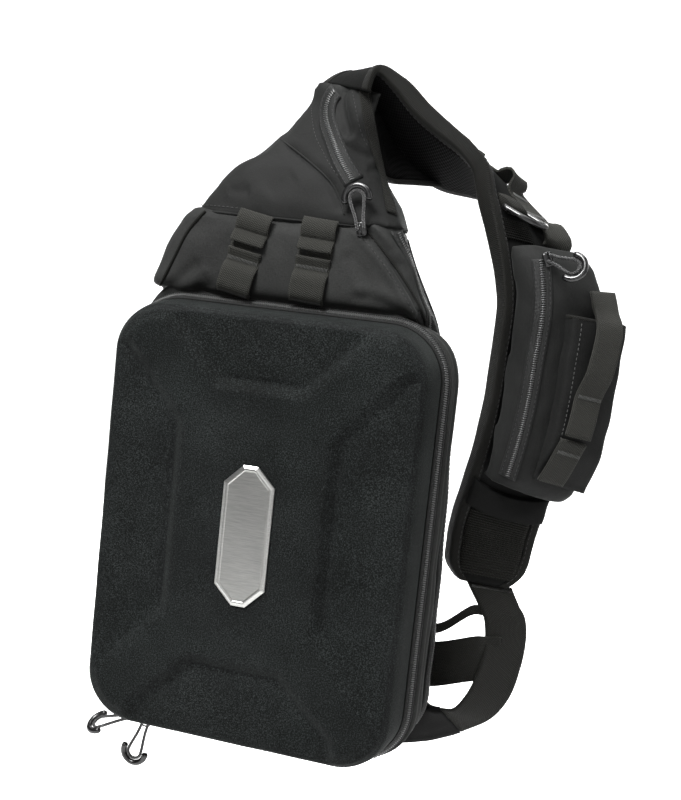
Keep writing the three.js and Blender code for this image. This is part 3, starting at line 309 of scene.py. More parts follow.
# Lengthwise section of a small bar: share of its length, and size there
CAPSULE = [(0.0, 0.35), (0.12, 0.85), (0.5, 1.0), (0.88, 0.85), (1.0, 0.35)]


def beads(name, starts, ends, thick, high, outs, material, sides=6):
    """One mesh of many small rounded bars, such as stitches or zip teeth."""
    points, faces = [], []
    for start, end, out in zip(starts, ends, outs):
        way = end - start
        side = unit(np.cross(way, out))
        base = len(points)
        for share, size in CAPSULE:
            for k in range(sides):
                a = 2 * math.pi * k / sides
                points.append(start + way * share + side * (math.cos(a) * thick / 2 * size)
                              + out * (math.sin(a) * high / 2 * size))
        faces += [tuple(base + i for i in f) for f in loft_faces(len(CAPSULE), sides)]
    return make(name, np.array(points), faces, material)


def seen(points):
    """x and z of points on the seen plane, for an eye at the photograph's camera."""
    points = np.asarray(points, float)
    share = (SEEN_PLANE - EYE[1]) / (points[:, 1] - EYE[1])
    return np.stack([EYE[0] + share * (points[:, 0] - EYE[0]), EYE[2] + share * (points[:, 2] - EYE[2])], 1)


def line_distance(flat, path):
    """Distance of flat points from a polyline, the share along it of the nearest place, and their side."""
    path = np.asarray(path, float)
    best, share, side = np.full(len(flat), 1e9), np.zeros(len(flat)), np.zeros(len(flat))
    spans = len(path) - 1
    for i in range(spans):
        a, b = path[i], path[i + 1]
        way = b - a
        t = np.clip(((flat - a) @ way) / (way @ way), 0, 1)
        off = flat - (a + t[:, None] * way)
        d = np.linalg.norm(off, axis=1)
        near = d < best
        best[near] = d[near]
        share[near] = (i + t[near]) / spans
        side[near] = np.sign(way[0] * off[near, 1] - way[1] * off[near, 0])
    return best, share, side


def mesh_rows(obj, what):
    flat = np.empty(len(obj.data.vertices) * 3)
    obj.data.vertices.foreach_get(what, flat)
    return flat.reshape(-1, 3)


def mesh_points(obj):
    return mesh_rows(obj, "co") * 1000 + SEAT


def mesh_normals(obj):
    obj.data.update()
    return mesh_rows(obj, "normal")


def set_points(obj, points):
    obj.data.vertices.foreach_set("co", place(points).ravel())
    obj.data.update()


# Share of a fold's length over which it fades at each end, and how much wider its drop is than its rise
FOLD_FADE, DROP_REACH = 0.12, 2.2


def crease(obj, folds):
    """Presses folds into a soft form's face. A fold is (path on the seen plane, half width, rise, drop):
    rise swells or sinks along the line, and drop lowers the form on the line's right side."""
    points, normals = mesh_points(obj), mesh_normals(obj)
    flat = seen(points)
    front = step(normals @ -Y, 0.05, 0.35)
    move = np.zeros(len(points))
    for path, half, rise, drop in folds:
        d, share, side = line_distance(flat, path)
        shown = front * step(share, 0.0, FOLD_FADE) * step(1 - share, 0.0, FOLD_FADE)
        move += shown * rise * np.exp(-(d / half) ** 2)
        if drop:
            move -= shown * drop * np.where(side < 0, np.exp(-(d / (half * DROP_REACH)) ** 2), 0)
    set_points(obj, points + normals * move[:, None])


def roughen(obj, amount, size, seed, facing=None):
    """Small folds by rough(), everywhere or on the side that faces one way."""
    points, normals = mesh_points(obj), mesh_normals(obj)
    move = amount * rough(points, size, seed)
    if facing is not None:
        move = move * step(normals @ facing, -0.2, 0.4)
    set_points(obj, points + normals * move[:, None])


def applied(obj):
    """Replaces the mesh by what its modifiers give."""
    graph = bpy.context.evaluated_depsgraph_get()
    mesh = bpy.data.meshes.new_from_object(obj.evaluated_get(graph))
    materials = list(obj.data.materials)
    obj.modifiers.clear()
    obj.data = mesh
    if not mesh.materials:
        for material in materials:
            mesh.materials.append(material)
    mesh.polygons.foreach_set("use_smooth", [True] * len(mesh.polygons))


CLOTH_FRAMES, CLOTH_STIFFNESS, CLOTH_BENDING = 20, 8, 1.5
# Padding: pressure, how far a point may move, and the size of the remesh's voxels
BODY_PADDING, HOOD_PADDING, POUCH_PADDING = (3.0, 2.5, 4.5), (3.0, 2.5, 4.0), (3.0, 2.0, 3.6)


def inflate(obj, pressure, cap, voxel):
    """Pads a soft form by a cloth simulation, with a limit to how far any point moves."""
    modifier = obj.modifiers.new("remesh", "REMESH")
    modifier.mode = "VOXEL"
    modifier.voxel_size = voxel / 1000
    modifier.use_smooth_shade = True
    applied(obj)
    before = mesh_points(obj)
    settings = obj.modifiers.new("cloth", "CLOTH").settings
    settings.quality = 5
    settings.use_pressure = True
    settings.uniform_pressure_force = pressure
    settings.effector_weights.gravity = 0
    settings.tension_stiffness = CLOTH_STIFFNESS
    settings.compression_stiffness = CLOTH_STIFFNESS
    settings.bending_stiffness = CLOTH_BENDING
    scene.frame_start, scene.frame_end = 1, CLOTH_FRAMES
    for number in range(1, CLOTH_FRAMES + 1):
        scene.frame_set(number)
    applied(obj)
    scene.frame_set(1)
    moved = mesh_points(obj) - before
    far = np.linalg.norm(moved, axis=1)
    moved *= (np.minimum(far, cap) / np.maximum(far, 1e-6))[:, None]
    set_points(obj, before + moved)
    subdivision = obj.modifiers.new("smooth", "SUBSURF")
    subdivision.levels = subdivision.render_levels = 1
    applied(obj)


# Materials
class Nodes:
    """Short calls for building one node material."""

    def __init__(self, name):
        self.material = bpy.data.materials.new(name)
        self.material.use_nodes = True
        self.tree = self.material.node_tree
        self.shader = self.tree.nodes["Principled BSDF"]
        self.place = self.tree.nodes.new("ShaderNodeTexCoord").outputs["Object"]

    def link(self, value, socket):
        if isinstance(value, bpy.types.NodeSocket):
            self.tree.links.new(value, socket)
        else:
            socket.default_value = value

    def math(self, operation, a, b=0.0, c=0.0):
        node = self.tree.nodes.new("ShaderNodeMath")
        node.operation = operation
        for value, socket in zip((a, b, c), node.inputs):
            self.link(value, socket)
        return node.outputs[0]

    def noise(self, scale, detail=4.0, roughness=0.6, at=None, distortion=0.0):
        node = self.tree.nodes.new("ShaderNodeTexNoise")
        self.link(self.place if at is None else at, node.inputs["Vector"])
        node.inputs["Scale"].default_value = scale
        node.inputs["Detail"].default_value = detail
        node.inputs["Roughness"].default_value = roughness
        node.inputs["Distortion"].default_value = distortion
        return node.outputs["Fac"]

    def stretched(self, scale):
        node = self.tree.nodes.new("ShaderNodeMapping")
        self.link(self.place, node.inputs["Vector"])
        node.inputs["Scale"].default_value = scale
        return node.outputs["Vector"]

    def ramp(self, value, stops):
        node = self.tree.nodes.new("ShaderNodeValToRGB")
        self.link(value, node.inputs["Fac"])
        elements = node.color_ramp.elements
        while len(elements) < len(stops):
            elements.new(0.5)
        for element, (at, color) in zip(elements, stops):
            element.position = at
            element.color = (*color, 1.0)
        return node.outputs["Color"]

    def weave(self):
        """The weave attribute's millimetres: across, along and up."""
        node = self.tree.nodes.new("ShaderNodeAttribute")
        node.attribute_name = "weave"
        split = self.tree.nodes.new("ShaderNodeSeparateXYZ")
        self.link(node.outputs["Vector"], split.inputs["Vector"])
        return split.outputs["X"], split.outputs["Y"], split.outputs["Z"]

    def wave(self, value, pitch, kind="SINE"):
        return self.math(kind, self.math("MULTIPLY", value, 2 * math.pi / pitch))

    def blend(self, a, share_a, b, share_b):
        """a times its share plus b times its own."""
        return self.math("MULTIPLY_ADD", a, share_a, self.math("MULTIPLY", b, share_b))

    def shades(self, value, base, share, low=0.3, high=0.7):
        """A colour that goes from darker to lighter by a share as the value goes from low to high."""
        return self.ramp(value, [(low, scaled(base, 1 - share)), (high, scaled(base, 1 + share))])

    def bump(self, height, distance, strength=1.0, under=None):
        node = self.tree.nodes.new("ShaderNodeBump")
        self.link(height, node.inputs["Height"])
        node.inputs["Distance"].default_value = distance / 1000
        node.inputs["Strength"].default_value = strength
        if under is not None:
            self.link(under, node.inputs["Normal"])
        return node.outputs["Normal"]

    def finish(self, color, roughness, normal=None, metallic=0.0, sheen=0.0, tint=(1, 1, 1), coat=0.0,
               specular=0.5):
        shader = self.shader
        self.link(color, shader.inputs["Base Color"])
        self.link(roughness, shader.inputs["Roughness"])
        shader.inputs["Metallic"].default_value = metallic
        shader.inputs["Sheen Weight"].default_value = sheen
        shader.inputs["Sheen Roughness"].default_value = 0.45
        shader.inputs["Sheen Tint"].default_value = (*tint, 1.0)
        shader.inputs["Coat Weight"].default_value = coat
        shader.inputs["Coat Roughness"].default_value = 0.15
        shader.inputs["Specular IOR Level"].default_value = specular
        if normal is not None:
            self.link(normal, shader.inputs["Normal"])
        return self.material


def scaled(color, by):
    return tuple(c * by for c in color)


# The case's colour with the speckle's dark and light ends, in shares of it
SHELL_COLOR, SHELL_DARK, SHELL_LIGHT = (0.0050, 0.0057, 0.0056), 0.2, 1.8 * 2.3
SHELL_TINT = (0.92, 1.0, 0.96)


def shell_cloth():
    n = Nodes("shell_cloth")
    speckle = n.noise(1150, 2, 0.75)
    soft = n.noise(28, 3, 0.5)
    color = n.ramp(n.blend(soft, 0.14, speckle, 0.86),
                   [(0.38, scaled(SHELL_COLOR, SHELL_DARK)), (0.52, SHELL_COLOR),
                    (0.64, scaled(SHELL_COLOR, SHELL_LIGHT))])
    fine = n.bump(speckle, 0.3, 0.8)
    threads = n.noise(900, 1, 0.4, n.stretched((3.0, 1.0, 0.5)))
    return n.finish(color, n.math("MULTIPLY_ADD", speckle, 0.2, 0.66), n.bump(threads, 0.1, 0.4, fine),
                    sheen=0.03, tint=SHELL_TINT, specular=0.06)


def nylon_cloth(name, base, sheen=0.03, rough_low=0.64, specular=0.12):
    n = Nodes(name)
    weave_a = n.noise(1300, 1, 0.4, n.stretched((2.2, 1.0, 0.45)))
    weave_b = n.noise(1300, 1, 0.4, n.stretched((0.45, 1.0, 2.2)))
    weave = n.math("MAXIMUM", weave_a, weave_b)
    soft = n.noise(16, 4, 0.6)
    color = n.shades(n.blend(soft, 0.45, weave, 0.55), base, 0.55, 0.35, 0.68)
    ripple = n.bump(n.noise(62, 4, 0.55, None, 0.5), 0.9, 0.4)
    return n.finish(color, n.math("MULTIPLY_ADD", soft, 0.16, rough_low), n.bump(weave, 0.22, 0.7, ripple),
                    sheen=sheen, tint=(0.95, 1.0, 0.97), specular=specular)


def webbing_cloth(name, base, across_pitch, along_pitch, deep, specular=0.14):
    """Woven webbing: rounded columns, every second one half a rib further along."""
    n = Nodes(name)
    u, v, _ = n.weave()
    column = n.wave(u, 2 * across_pitch)
    odd = n.math("MULTIPLY", n.math("SIGN", column), math.pi / 2)
    ribs = n.math("SINE", n.math("MULTIPLY_ADD", v, 2 * math.pi / along_pitch, odd))
    height = n.math("MULTIPLY", n.math("ABSOLUTE", column), n.math("MULTIPLY_ADD", ribs, 0.5, 0.6))
    fuzz = n.noise(700, 3, 0.7)
    color = n.shades(n.blend(fuzz, 0.4, height, 0.62), base, 0.5, 0.12, 0.75)
    normal = n.bump(fuzz, 0.08, 0.4, n.bump(height, deep, 0.8))
    return n.finish(color, n.math("MULTIPLY_ADD", fuzz, 0.2, 0.6), normal, sheen=0.04, tint=(1.0, 1.0, 0.93),
                    specular=specular)


def binding_cloth(name, base, specular=0.1):
    """Binding tape with slanting ribs."""
    n = Nodes(name)
    u, v, _ = n.weave()
    slant = n.wave(n.math("MULTIPLY_ADD", u, 0.6, v), 1.25)
    fuzz = n.noise(900, 3, 0.65)
    color = n.shades(n.blend(fuzz, 0.6, slant, 0.15), base, 0.35, 0.2, 0.8)
    normal = n.bump(fuzz, 0.2, 0.6, n.bump(slant, 0.24, 0.7))
    return n.finish(color, 0.66, normal, sheen=0.02, specular=specular)


def mesh_cloth(name, base, pitch=4.6, attribute=True):
    """Spacer mesh: round holes in staggered rows."""
    n = Nodes(name)
    if attribute:
        u, v, _ = n.weave()
    else:
        split = n.tree.nodes.new("ShaderNodeSeparateXYZ")
        n.link(n.stretched((1000, 1000, 1000)), split.inputs["Vector"])
        u, v = split.outputs["X"], split.outputs["Z"]
    first = n.math("MULTIPLY", n.wave(u, pitch, "COSINE"), n.wave(v, pitch * 0.62, "COSINE"))
    holes = n.math("SMOOTH_MAX", n.math("MULTIPLY_ADD", first, 0.5, 0.5), 0.25, 0.3)
    fuzz = n.noise(800, 3, 0.6)
    color = n.ramp(n.blend(fuzz, 0.2, holes, 0.85), [(0.35, scaled(base, 0.25)), (0.8, scaled(base, 1.6))])
    normal = n.bump(fuzz, 0.1, 0.5, n.bump(holes, 0.9, 0.9))
    return n.finish(color, 0.8, normal, sheen=0.01, specular=0.05)


def tape_cloth(name, base):
    n = Nodes(name)
    u, v, _ = n.weave()
    weave = n.math("MULTIPLY_ADD", n.wave(u, 1.1), 0.6, n.wave(v, 0.9))
    color = n.shades(n.noise(1000, 2, 0.6), base, 0.3)
    return n.finish(color, 0.55, n.bump(weave, 0.1, 0.7), sheen=0.03, specular=0.16)


def coil_nylon(name, base):
    n = Nodes(name)
    fuzz = n.noise(500, 2, 0.5)
    return n.finish(n.shades(fuzz, base, 0.25), n.math("MULTIPLY_ADD", fuzz, 0.12, 0.3),
                    n.bump(fuzz, 0.05, 0.3), specular=0.7)


def thread_nylon(name, base):
    n = Nodes(name)
    twist = n.noise(1800, 1, 0.5)
    return n.finish(n.shades(twist, base, 0.3), 0.45, n.bump(twist, 0.08, 0.5), specular=0.3)


def moulded(name, base, low=0.16, high=0.34):
    """Moulded plastic, smeared between two roughnesses."""
    n = Nodes(name)
    grain = n.noise(420, 4, 0.6)
    smear = n.noise(40, 3, 0.55)
    roughness = n.math("MULTIPLY_ADD", smear, high - low, low)
    return n.finish(n.shades(smear, base, 0.25), roughness, n.bump(grain, 0.05, 0.25), coat=0.15)


def braid(name, base):
    n = Nodes(name)
    u, v, _ = n.weave()
    turn, along = 2 * math.pi / 1.8, 2 * math.pi / 2.2
    one, two = [n.math("SINE", n.blend(u, way, v, along)) for way in (turn, -turn)]
    strands = n.math("MAXIMUM", one, two)
    color = n.shades(n.math("MULTIPLY_ADD", strands, 0.5, 0.5), base, 0.45, 0.3, 0.9)
    return n.finish(color, 0.36, n.bump(strands, 0.35, 0.9), sheen=0.15, specular=0.6)


def brushed_plate():
    n = Nodes("brushed_plate")
    streaks = n.noise(700, 3, 0.6, n.stretched((0.15, 1.0, 3.0)))
    smear = n.noise(60, 2, 0.5)
    color = n.ramp(streaks, [(0.3, (0.38, 0.38, 0.37)), (0.7, (0.52, 0.52, 0.50))])
    roughness = n.math("MULTIPLY_ADD", smear, 0.06, 0.3)
    return n.finish(color, roughness, n.bump(streaks, 0.03, 0.3), metallic=1.0)


NYLON_COLOR = (0.0085, 0.0087, 0.0084)
WEB_COLOR = (0.0125, 0.0125, 0.0108)

SHELL = shell_cloth()
# The body's nylon is a lighter copy of the nylon: partly its own colour, partly painted light for the light
# falling on the front panel
BODY_CLOTH = nylon_cloth("body_nylon", scaled(NYLON_COLOR, 1.55))
NYLON = nylon_cloth("pouch_nylon", scaled(NYLON_COLOR, 0.95))
POCKET_CLOTH = nylon_cloth("pocket_nylon", scaled(NYLON_COLOR, 0.7), 0.02)
HOOD = nylon_cloth("hood_nylon", scaled(NYLON_COLOR, 0.78))
# The strap's nylon is a darker copy of the nylon: partly its own colour, partly painted shade where the strap
# faces away from the light
STRAP_CLOTH = nylon_cloth("strap_nylon", scaled(NYLON_COLOR, 0.42), 0.01, 0.64, 0.06)
WEB = webbing_cloth("webbing", scaled(WEB_COLOR, 1.25), 1.15, 1.35, 0.5)
DARK_WEB = webbing_cloth("dark_webbing", scaled(WEB_COLOR, 0.5), 1.15, 1.35, 0.5, 0.08)
WIDE_WEB = webbing_cloth("wide_webbing", scaled(WEB_COLOR, 0.55), 1.2, 1.3, 0.8, 0.1)
RIB_CLOTH = binding_cloth("ribbed_cloth", scaled(WEB_COLOR, 0.42), 0.06)
BINDING = binding_cloth("edge_binding", scaled(WEB_COLOR, 0.62))
LINING_MESH = mesh_cloth("lining_mesh", (0.0013, 0.0013, 0.0014))
PANEL_MESH = mesh_cloth("panel_mesh", (0.0060, 0.0060, 0.0061), 5.2, False)
TAPE = tape_cloth("zip_tape", (0.0085, 0.0088, 0.0086))
COIL = coil_nylon("coil_nylon", (0.050, 0.051, 0.050))
DARK_COIL = coil_nylon("dark_coil_nylon", (0.020, 0.020, 0.020))
THREAD = thread_nylon("thread", (0.020, 0.020, 0.020))
PALE_THREAD = thread_nylon("bar_tack_thread", (0.052, 0.053, 0.051))
PLASTIC = moulded("moulded_plastic", (0.0040, 0.0040, 0.0042))
RING_PLASTIC = moulded("ring_plastic", (0.0038, 0.0038, 0.0040), 0.2, 0.4)
CORD = braid("braided_cord", (0.0070, 0.0070, 0.0072))
PLATE = brushed_plate()


# Camera of the photograph: its turn, rise and roll in degrees, and its focal length in pixels
EYE_TURN, EYE_RISE, EYE_ROLL = 16.0, 6.5, 6.1
LENS_PIXELS, PICTURE = 1250.0, (681, 800)
SENSOR = 36.0


def set_camera():
    turn, rise, roll = (math.radians(a) for a in (EYE_TURN, EYE_RISE, EYE_ROLL))
    back = V(math.sin(turn) * math.cos(rise), -math.cos(turn) * math.cos(rise), math.sin(rise))
    right = V(math.cos(turn), math.sin(turn), 0)
    up = np.cross(back, right)
    side = right * math.cos(roll) + up * math.sin(roll)
    top = -right * math.sin(roll) + up * math.cos(roll)
    data = bpy.data.cameras.new("camera")
    data.sensor_fit = "HORIZONTAL"
    data.sensor_width = SENSOR
    data.lens = SENSOR * LENS_PIXELS / PICTURE[0]
    data.clip_start, data.clip_end = 0.05, 30
    camera = bpy.data.objects.new("camera", data)
    scene.collection.objects.link(camera)
    rows = np.column_stack((side, top, back, place(EYE))).tolist()
    camera.matrix_world = Matrix((*rows, (0, 0, 0, 1)))
    scene.camera = camera
    scene.render.resolution_x, scene.render.resolution_y = PICTURE


set_camera()


# Pulls come first, because their cords' lengths are tested. A slider's space under it, its height, and
# the space from there to the cord
SLIDER_GAP, SLIDER_HIGH, CORD_GAP = 0.3, 3.2, 0.6


def pull_frame(pull):
    """Off the zip, along it, the slider's foot, the cord's directions ahead and aside, and its start."""
    out = unit(pull["out"])
    way = unit(pull["zip"] - out * np.dot(pull["zip"], out))
    low = pull["at"] + out * SLIDER_GAP
    ahead = unit(pull["reach"])
    aside = unit(pull["side"] - ahead * np.dot(pull["side"], ahead))
    eye = low + out * (SLIDER_HIGH + CORD_GAP + CORD_THICK / 2)
    return out, way, low, ahead, aside, eye


def corner_spot(degrees):
    """A point round the case frame's lower left corner, and the way out from it."""
    a = math.radians(degrees)
    out = V(-math.sin(a), 0, -math.cos(a))
    middle = V(CASE_X - CASE_WIDTH / 2 + CASE_CORNER, 0, CASE_BASE + CASE_CORNER)
    spot = middle + out * (CASE_CORNER + ZIP_PROUD)
    spot[1] = (ZIP_FRONT + ZIP_BACK) / 2
    return spot, out


def panel_y(z):
    """Depth of the front panel, which leans back as it rises."""
    return PANEL_FOOT + PANEL_LEAN * (z - SHELF_Z) / PANEL_RISE


# Strap stations: place in shares of its reach, depth and top, turn and tilt of its width, and width
STRAP_STATIONS = [
    (0.046, -0.62, 0.943, 32, -6, 1.0), (0.068, -0.61, 0.979, 48, -8, 1.0),
    (0.125, -0.47, 1.0, 58, -3, 1.0), (0.24, -0.2, 0.968, 65, 9, 1.05), (0.36, -0.03, 0.92, 69, 20, 1.07),
    (0.492, 0.13, 0.888, 78, 26, 1.06), (0.616, 0.31, 0.873, 89, 22, 1.0),
    (0.724, 0.42, 0.856, 101, 14, 0.97), (0.814, 0.38, 0.818, 117, 9, 0.96),
    (0.9, 0.3, 0.775, 130, 6, 0.97), (0.976, 0.28, 0.714, 138, 4, 0.98),
    (1.006, 0.32, 0.668, 140, 5, 1.0), (1.0, 0.44, 0.596, 140.5, 8, 1.0),
    (0.984, 0.58, 0.513, 140.5, 11, 0.99), (0.952, 0.73, 0.432, 142, 12.5, 0.98),
    (0.911, 0.89, 0.364, 144, 12.5, 0.97), (0.885, 0.97, 0.318, 146, 10.5, 0.96),
    (0.874, 1.0, 0.279, 146, 9, 0.94), (0.857, 1.0, 0.231, 144, 9, 0.84),
]
# The last station, and about how many millimetres lie between two
STRAP_END, STATION_RUN = 18, 21.0
strap_line = Line([(x * STRAP_REACH, y * STRAP_DEEP, z * STRAP_TOP) for x, y, z, *_ in STRAP_STATIONS])
strap_twist = Line([row[3:] for row in STRAP_STATIONS])


def strap_frame(at):
    """Middle, width direction, outward direction and half width at a station number."""
    share = at / STRAP_END
    turn, tilt, wide = strap_twist.at(share)
    across = turned(turn, tilt)
    out = unit(np.cross(across, strap_line.way(share)))
    return strap_line.at(share), across, out, wide * STRAP_WIDTH / 2


def on_strap(at, side, high):
    """Place on the strap: station, millimetres across it and millimetres off its middle."""
    middle, across, out, _ = strap_frame(at)
    return middle + across * side + out * high


POUCH_PULL_AT = 9.75


def pouch_spot():
    _, across, out, _ = strap_frame(POUCH_PULL_AT)
    return on_strap(POUCH_PULL_AT, 14, POUCH_BASE + POUCH_DEPTH * 0.9 + 1.7), out + across * 0.45


LOW_SPOT, LEFT_SPOT, POUCH_SPOT = corner_spot(3), corner_spot(19), pouch_spot()
# Pulls: the zip's place, outward side and direction, where the cord reaches and how far, and its width
PULLS = [
    dict(name="shell_pull_low", at=LOW_SPOT[0], out=LOW_SPOT[1], zip=X,
         reach=V(-0.28, 0, -0.96), side=X, far=24),
    dict(name="shell_pull_left", at=LEFT_SPOT[0], out=LEFT_SPOT[1], zip=X,
         reach=V(-0.92, 0, -0.38), side=V(0, 0.86, 0.5), far=25),
    dict(name="main_pull", at=V(BODY_WIDTH * 0.176, panel_y(HEM_Z) - 1, HEM_Z - 4), out=V(0.15, -1, 0.05),
         zip=V(-0.3, 0, 1), reach=V(-0.25, 0.08, 0.96), side=X, far=21),
    dict(name="pouch_pull", at=POUCH_SPOT[0], out=POUCH_SPOT[1],
         zip=strap_line.way(POUCH_PULL_AT / STRAP_END), reach=V(0.95, -0.2, -0.25),
         side=V(0.2, 0.3, 1), far=17),
]


# Slider: height above its zip with the inset of its outline, and its bridge's places along and above
SLIDER_PROFILE = [
    (0.0, 0.5), (0.25, 0.1), (0.9, 0.0), (1.2, 0.4), (1.35, 1.0), (1.75, 1.0), (1.9, 0.35), (2.3, 0.0),
    (2.9, 0.15), (3.2, 0.8),
]
SLIDER_BRIDGE = [(-4.0, 2.8), (-3.6, 5.4), (-2.0, 7.1), (0.0, 7.4), (2.0, 7.1), (3.6, 5.4), (4.0, 2.8)]
# Its half width, half length and corners, and the least space between the cord and the grip
SLIDER_WIDE, SLIDER_LONG, SLIDER_ROUND, GRIP_GAP = 3.5, 5, 2.2, 0.3


def make_pull(pull):
    out, way, low, ahead, aside, eye = pull_frame(pull)
    name, far = pull["name"], pull["far"]
    cross = np.cross(out, way)

    def at(forward, side):
        return eye + ahead * forward + aside * side

    def on_arc(radius, degrees):
        a = math.radians(degrees)
        return at(far + radius * math.cos(a), radius * math.sin(a))

    grip_radius = (GRIP_SPREAD - GRIP_WIRE) / 2
    cord_radius = grip_radius - (GRIP_WIRE + CORD_THICK) / 2 - GRIP_GAP
    arc = [on_arc(grip_radius, d) for d in range(-100, 101, 8)]
    widths = GRIP_WIRE / 2 * (1 + 0.1 * np.abs(np.arange(-12, 14)) / 12)
    grip = tube(name + "_grip_shape", arc, widths[:len(arc)], PLASTIC, 16)
    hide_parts(name + "_grip")

    waist = 0.55 * cord_radius
    route = [at(0, -CORD_THICK), at(far * 0.35, -waist)]
    route += [on_arc(cord_radius, d) for d in (-105, -70, -35, 0, 35, 70, 105)]
    route += [at(far * 0.35, waist), at(0, CORD_THICK)]
    path = smooth_path(route, 0.9)
    cord = tube(name + "_cord_braid", path, CORD_THICK / 2, CORD, 12)
    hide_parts(name + "_cord")

    rings = []
    for high, inset in SLIDER_PROFILE:
        wide, long, corner = SLIDER_WIDE - inset, SLIDER_LONG - inset, SLIDER_ROUND - inset
        shape = rounded(-wide, wide, -long, long, corner, corner, 3, 4)
        rings.append([low + out * high + cross * u + way * v for u, v in shape])
    body = loft(name + "_slider_body", rings, PLASTIC)
    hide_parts(name + "_slider")
    bridge = [low + way * v + out * high for v, high in SLIDER_BRIDGE]
    tube(name + "_slider_bridge", smooth_path(bridge, 0.6), 0.65, PLASTIC, 8)


for pull in PULLS:
    make_pull(pull)


# Moulded case. Relief fields are corner places in shares of half the case's width and height.
RELIEF_FIELDS = [
    [(0.62, 1.1), (0.545, 0.93), (0.245, 0.695), (-0.245, 0.695), (-0.545, 0.93), (-0.62, 1.1)],
    [(-0.66, -1.1), (-0.6, -0.87), (-0.265, -0.64), (0.265, -0.64), (0.6, -0.87), (0.66, -1.1)],
    [(1.1, -0.72), (0.88, -0.665), (0.53, -0.375), (0.53, 0.455), (0.88, 0.76), (1.1, 0.83)],
    [(-1.1, 0.83), (-0.88, 0.76), (-0.53, 0.455), (-0.53, -0.375), (-0.88, -0.665), (-1.1, -0.72)],
]
# Depth of the sunk fields, and how softly edge and face meet
RELIEF_SHOWN, SHELL_SOFT = 5.0, 1.2
# Groove round each field: its depth in shares of the field's, its place outside the edge, and its width
GROOVE_DEEP, GROOVE_AT, GROOVE_WIDE = 0.22, 0.6, 1.5
# The case's edge: share of its depth, and share of the edge's width
SHELL_PROFILE = [(0.0, 0.0), (0.3, 0.03), (0.55, 0.08), (0.76, 0.2), (0.92, 0.5), (1.0, 1.0)]


def case_outline(inset, side=34, corner=22):
    """The case's outline, seen from the front, at an inset from its edge."""
    wide, high = CASE_WIDTH / 2 - inset, CASE_HEIGHT / 2 - inset
    radius = max(CASE_CORNER - inset, 0.6)
    return rounded(-wide, wide, -high, high, radius, radius, side, corner)


def field_depth(flat, corners):
    """Share of the relief's depth at flat points, for one sunk field."""
    corners = np.array(corners) * (CASE_WIDTH / 2, CASE_HEIGHT / 2)
    after = np.roll(corners, -1, 0)
    area = np.sum(corners[:, 0] * after[:, 1] - after[:, 0] * corners[:, 1])
    outside = np.full(len(flat), -1e9)
    for a, b in zip(corners, after):
        way = unit(b - a)
        normal = np.array((way[1], -way[0])) * np.sign(area)
        outside = np.maximum(outside, (flat - a) @ normal)
    slope = step(RELIEF_SLOPE - outside, RELIEF_SLOPE * 0.12, RELIEF_SLOPE * 0.92)
    return slope + GROOVE_DEEP * np.exp(-((outside - GROOVE_AT) / GROOVE_WIDE) ** 2)


def shell_surface(inset, flat):
    """Depth of the case's surface at an inset from its outline, soft where edge and face meet."""
    shares = np.array(SHELL_PROFILE)
    depth = np.interp(inset / SHELL_EDGE, shares[:, 1], shares[:, 0])
    side = RIM - depth * SHELL_DEPTH
    sunk = np.zeros(len(flat))
    for field in RELIEF_FIELDS:
        sunk = np.maximum(sunk, field_depth(flat, field))
    face = FACE + RELIEF_SHOWN * sunk
    meeting = SHELL_SOFT * np.logaddexp(side / SHELL_SOFT, face / SHELL_SOFT)
    return meeting - SHELL_SOFT * math.log(2) * np.exp(-np.abs(side - face) / SHELL_SOFT)


# The inside of the case: inset from its outline, and depth
SHELL_INSIDE = [(60, FACE + 7), (17, FACE + 7), (4, FACE + 15), (3, RIM)]


def make_shell():
    rings = []
    for inset, y in SHELL_INSIDE:
        rings.append([(CASE_X + u, y, CASE_MID + v) for u, v in case_outline(inset)])
    insets = [SHELL_EDGE * (k / 20) ** 2.2 for k in range(21)] + list(np.arange(15.2, 111.5, 1.6))
    for inset in insets:
        flat = case_outline(inset)
        ys = shell_surface(inset, flat)
        rings.append([(CASE_X + u, y, CASE_MID + v) for (u, v), y in zip(flat, ys)])
    shell = loft("case_shell", rings, SHELL)
    roughen(shell, 0.12, 46, 3.0, -Y)
    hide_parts("front_shell")


def case_path(grow, y, gap):
    """Closed path round the case, off its side by grow."""
    flat = case_outline(-grow, 20, 12)
    path = [(CASE_X + u, y, CASE_MID + v) for u, v in flat]
    return spaced(path, gap, True)


def case_ways(path):
    """Directions along a closed path round the case, and away from its middle."""
    ways = units(np.roll(path, -1, 0) - np.roll(path, 1, 0))
    outs = np.cross(ways, -Y)
    return ways, outs * np.sign(np.sum(outs * (path - V(CASE_X, 0, CASE_MID)), axis=1))[:, None]


# Zip tape round the case, sloped towards the viewer: places of its section forward of its back, and how
# far it stands off the case
ZIP_SECTION = [
    (0.0, -3.0), (0.0, 4.3), (0.35, 4.9), (1.0, 4.85), (2.0, 4.2), (2.5, 3.55), (3.8, 2.75), (5.1, 1.95),
    (5.7, 1.95), (6.6, 1.4), (7.3, 0.8), (7.7, 0.2), (7.7, -3.0),
]
ZIP_SLOPE = (4.7, 7.7)
TOOTH_PITCH, ZIP_STEP = 1.55, 3.0


